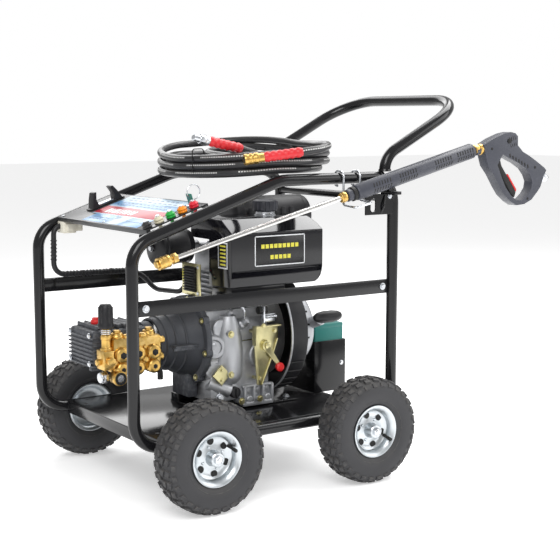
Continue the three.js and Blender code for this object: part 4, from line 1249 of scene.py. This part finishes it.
def make_panel():
    done(refined("control_panel", 0.8), "panel_sheet", PANEL_SHEET, ["control_panel"])
    print_top = 0.35
    areas = [
        ("panel_print_red", LABEL_RED, [((34, 78), (66, 376))]),
        ("panel_print_blue", LABEL_BLUE,
         [((-14, 30), (70, 168)), ((-14, 30), (236, 350)), ((84, 112), (66, 376))]),
        ("panel_print_pale", LABEL_PALE,
         [((-14, 30), (168, 236)), ((112, 146), (80, 376)), ((30, 34), (66, 376)),
                                          ((78, 84), (66, 376))]),
    ]
    for name, material, patches in areas:
        done(on_panel(merge([block(a, y, (0.02, print_top), 0.08) for a, y in patches])), name, material)
    marks = []
    for a, count, first, pitch in ((0, 12, 246, 8), (10, 10, 250, 9), (8, 9, 84, 9), (90, 14, 96, 19),
                                   (102, 12, 110, 20), (118, 10, 110, 24), (132, 10, 120, 24)):
        for k in range(count):
            marks.append(block((a, a + 4), (first + k * pitch, first + k * pitch + pitch * 0.6), (0.3, 0.6),
                               0.08))
    done(on_panel(merge(marks)), "panel_print_dashes", LABEL_INK)
    bars = [block((42, 64), (y, y + w), (0.3, 0.62), 0.08) for y, w in
            ((196, 8), (210, 8), (226, 20), (252, 8), (266, 8), (280, 22), (308, 8), (322, 12))]
    done(on_panel(merge(bars)), "panel_print_bars", LABEL_WHITE)
    for i, (name, material) in enumerate(TIP_FINISHES.items()):
        origin = panel_point(-6 + i * 32, 33, 0)
        tip = lathe([(4.6, -22), (4.6, 0.5), (10.6, 0.5), (11.4, 2), (11.4, 4.4), (9.8, 5), (9.8, 7),
                     (11.4, 7.6),
                     (11.4, 10), (7.6, 12.4), (7, 15)], origin, PANEL_NORMAL, 32, 0.3)
        done(tip, f"spray_tip_{name}", material, [f"nozzle_tip_{name}"], body=f"tip_{name}")
        stub = lathe([(4.6, 14), (4.6, 18)], origin, PANEL_NORMAL, 20, 0.4)
        done(stub, f"spray_tip_nose_{name}", ZINC, body=f"tip_{name}")
        seat = lathe([(6.2, 0.05), (9.8, 0.05), (9.8, 0.45), (6.2, 0.45), (6.2, 0.05)], origin, PANEL_NORMAL,
                     28,
                     closed=True)
        done(seat, f"spray_tip_seat_{name}", GASKET)
    bezel = lathe([(8.2, 0.05), (13, 0.05), (13, 2.6), (8.2, 3.4), (8.2, 0.05)], panel_point(132, 60, 0),
                  PANEL_NORMAL, 32, closed=True)
    done(bezel, "key_switch_bezel", ZINC)
    key = refined("start_key", 1.2)
    done(key, "ignition_key", KEY_TEAL, ["start_key"], body="key")
    centre = panel_point(146, 60, 27)
    wire = [(17 + 1.3 * math.cos(k * math.pi / 5), 1.3 * math.sin(k * math.pi / 5)) for k in range(11)]
    done(lathe(wire, centre, Y, 40, closed=True), "key_ring", ZINC, body="key")
    clip = refined("lance_clip", 1.6, 3)
    done(clip, "lance_clips", BLACK_PLASTIC, ["lance_clip"])
    bracket = on_panel(block((62, 106), (394, 412), (4.2, 8), 1))
    done(bracket, "lance_clip_strip", ZINC)
    done(block((30, 52), (18, 22), (600, 632), 1), "panel_hanger_left", POWDER_COAT)
    screws = []
    for a, y in ((140, 462), (-10, 462), (-10, 240)):
        screws.append(lathe([(4, 0.2), (4, 1.6), (2.6, 2.4)], panel_point(a, y, 0), PANEL_NORMAL, 20))
    done(merge(screws), "panel_screws", ZINC)


make_panel()


# ---- lance and gun ----
LANCE_RISE = math.radians(14.2)
LANCE_TURN = Quaternion(Y, -LANCE_RISE)
LANCE_AXIS = LANCE_TURN @ X
LANCE_TIP = Vector((36, -42, 569))
GUN_START = 990


def lance_point(a, y, up):
    return LANCE_TURN @ Vector((a, y, up)) + LANCE_TIP


def on_lance(obj):
    """Moves a piece built along X from the front post's foot onto the lance's own line."""
    return put(obj, LANCE_TURN, at(*LANCE_TIP) - LANCE_TURN @ at(0, 0, 0))


def make_lance():
    tube = lathe([(6, 40), (6, 522)], LANCE_TIP, LANCE_AXIS, 32)
    done(tube, "lance_pipe", STAINLESS, ["lance_tube"], body="lance")
    fixed = merge([
        lathe([(4, 0), (8, 0), (8.6, 1.5), (8.6, 6)], LANCE_TIP, LANCE_AXIS, 32, 0.3),
        lathe([(8, 34), (9, 36), (9, 42)], LANCE_TIP, LANCE_AXIS, 32, 0.3),
        lathe([(12.5, 42), (12.5, 54)], LANCE_TIP, LANCE_AXIS, 6, 1),
        lathe([(11, 519), (12, 521), (12, 534), (11, 536)], LANCE_TIP, LANCE_AXIS, 6, 0.8),
        lathe([(12.4, 524), (13, 526), (13, 531), (12.4, 533)], LANCE_TIP, LANCE_AXIS, 32)])
    done(fixed, "lance_fittings", BRASS, body="lance")
    sleeve = lathe([(9.2, 6), (13.4, 6), (14, 7.5), (14, 12), (12.8, 13), (12.8, 16), (14, 17), (14, 23),
                    (12.8, 24),
                    (12.8, 27), (14, 28), (14, 33), (13.4, 34), (9.2, 34), (9.2, 6)], LANCE_TIP, LANCE_AXIS,
                   40,
                   closed=True)
    done(sleeve, "lance_coupler_sleeve", BRASS, ["nozzle_coupler"], body="coupler")
    collar = lathe([(14, 538), (15.5, 540), (15.5, 552)], LANCE_TIP, LANCE_AXIS, 8, 0.8)
    done(collar, "grip_collar", GUN_PLASTIC, body="lance")
    grip = lathe([(12, 564.5), (17.4, 565), (19.5, 569), (19.5, 949), (17.4, 953), (12, 953.4)], LANCE_TIP,
                 LANCE_AXIS, 48, 0.4)
    done(grip, "lance_handgrip", GUN_PLASTIC, ["lance_grip"], body="lance")
    done(lathe([(15.4, 551.5), (17.6, 553), (17.6, 561), (15.4, 564)], LANCE_TIP, LANCE_AXIS, 40),
         "grip_nose",
         GASKET, body="lance")
    # Dark marks on the grip stand for its vents, which are not cut: painted shade.
    vent_shade_marks = []
    for group_start in (612, 696, 814, 890):
        for row_angle in (20, -22):
            for k in range(7):
                a = group_start + k * 8.6
                angle = math.radians(row_angle)
                spot = at(a, -19.1 * math.cos(angle), 19.1 * math.sin(angle))
                vent_shade_marks.append(put(unit_box((3.2, 1.4, 10)), Quaternion(X, -angle) @ Quaternion(Y, 0.25), spot))
    done(on_lance(soften(merge(vent_shade_marks), 0.5)), "grip_vent_shade", GASKET, body="lance")


make_lance()


def make_gun():
    body = refined("gun_body", 4.2, 4, smooth=45)
    done(body, "gun_shell", GUN_PLASTIC, ["gun_body"], body="lance")
    fittings = merge([
        lathe([(9, 952), (9, 960), (13, 961), (13, 974), (10, 976)], LANCE_TIP, LANCE_AXIS, 6, 0.8),
        lathe([(11, 976), (14, 978), (14, 986), (11, 988)], LANCE_TIP + LANCE_TURN @ Vector((0, 0, -4)),
              LANCE_AXIS, 36, 0.3)])
    done(fittings, "gun_outlet_nut", BRASS, body="lance")
    tail_axis = LANCE_TURN @ Vector((0.62, 0, -0.78)).normalized()
    tail_at = lance_point(GUN_START + 188, 0, -120)
    tail = merge([lathe([(10.6, 4), (11.4, 6), (11.4, 14), (10.4, 16)], tail_at, tail_axis, 6, 0.7),
                  lathe([(9, 14), (10.2, 16), (10.2, 29), (8.6, 30)], tail_at, tail_axis, 32, 0.3)])
    done(tail, "gun_inlet", ZINC, body="lance")
    seam = []
    for side in (-1, 1):
        seam.append(lathe([(7, 13.5), (7, 16.4), (5.4, 17.2)], lance_point(GUN_START + 84, 0, -6), Y * side,
                          28, 0.3))
        seam.append(lathe([(3.4, 13.5), (3.4, 15.8)], lance_point(GUN_START + 20, 0, -10), Y * side, 16))
        seam.append(lathe([(3.4, 13.5), (3.4, 15.8)], lance_point(GUN_START + 160, 0, -98), Y * side, 16))
        seam.append(lathe([(3.4, 13.5), (3.4, 15.8)], lance_point(GUN_START + 116, 0, -171), Y * side, 16))
    done(merge(seam), "gun_screws", GASKET, body="lance")
    # Dark marks on the gun's sides stand for its grip notches, which are not cut: painted shade.
    notch_shade_marks = []
    for side in (-1, 1):
        y = (14.2, 15.4) if side > 0 else (-15.4, -14.2)
        for k in range(7):
            a, b = GUN_START + 76 + k * 9.4, -44 - k * 7.4
            notch_shade_marks.append(on_lance(block((a, a + 5), y, (b - 5, b + 5), 0.4)))
        for k in range(4):
            for b, tall in ((-3, 6), (-20, 4)):
                a = GUN_START + 86 + k * 6.4
                notch_shade_marks.append(on_lance(block((a, a + 2.2), y, (b - tall, b + tall), 0.4)))
    done(merge(notch_shade_marks), "gun_grip_notch_shade", GASKET, body="lance")
    trigger = refined("trigger", 2.2, 3)
    done(trigger, "gun_trigger", GASKET, ["trigger"], body="trigger")
    lock = refined("trigger_lock", 1.2)
    done(lock, "gun_safety_catch", LOCK_RED, ["trigger_lock"], body="lock")


make_gun()


# ---- stage and light ----
FLOOR_GLOW = 0.42  # lifts the paper to the white of the background
STUDIO_LIGHT = 0.5
# name, place in metres, side length and watts
LAMPS = (
    ("key_light", (-2.2, -2.6, 3.0), 2.2, 95), ("fill_light", (2.8, -2.2, 2.0), 2.4, 45),
    ("rim_light", (0.6, 3.0, 2.6), 2.4, 60), ("top_light", (1.5, 0.3, 3.0), 2.0, 75),
)


def make_stage():
    bpy.ops.mesh.primitive_plane_add(size=40, location=(0, 0, -0.0005))
    floor = bpy.context.object
    floor.name = "floor"
    material = bpy.data.materials.new("floor_paper")
    material.use_nodes = True
    shader = material.node_tree.nodes["Principled BSDF"]
    shader.inputs["Base Color"].default_value = (0.93, 0.93, 0.93, 1)
    shader.inputs["Roughness"].default_value = 0.9
    shader.inputs["Emission Color"].default_value = (1, 1, 1, 1)
    shader.inputs["Emission Strength"].default_value = FLOOR_GLOW
    floor.data.materials.append(material)
    world = bpy.data.worlds.new("studio")
    world.use_nodes = True
    tree = world.node_tree
    tree.nodes["Background"].inputs["Color"].default_value = (1, 1, 1, 1)
    tree.nodes["Background"].inputs["Strength"].default_value = STUDIO_LIGHT
    backdrop = tree.nodes.new("ShaderNodeBackground")
    backdrop.inputs["Color"].default_value = (1, 1, 1, 1)
    seen = tree.nodes.new("ShaderNodeLightPath")
    choice = tree.nodes.new("ShaderNodeMixShader")
    tree.links.new(seen.outputs["Is Camera Ray"], choice.inputs["Fac"])
    tree.links.new(tree.nodes["Background"].outputs[0], choice.inputs[1])
    tree.links.new(backdrop.outputs[0], choice.inputs[2])
    tree.links.new(choice.outputs[0], tree.nodes["World Output"].inputs["Surface"])
    bpy.context.scene.world = world
    for name, place, size, power in LAMPS:
        data = bpy.data.lights.new(name, "AREA")
        data.energy = power
        data.size = size
        lamp = bpy.data.objects.new(name, data)
        lamp.location = place
        lamp.rotation_euler = (Vector((0, 0, 0.45)) - Vector(place)).to_track_quat("-Z", "Y").to_euler()
        bpy.context.scene.collection.objects.link(lamp)
    bpy.context.scene.view_settings.view_transform = "Standard"


make_stage()
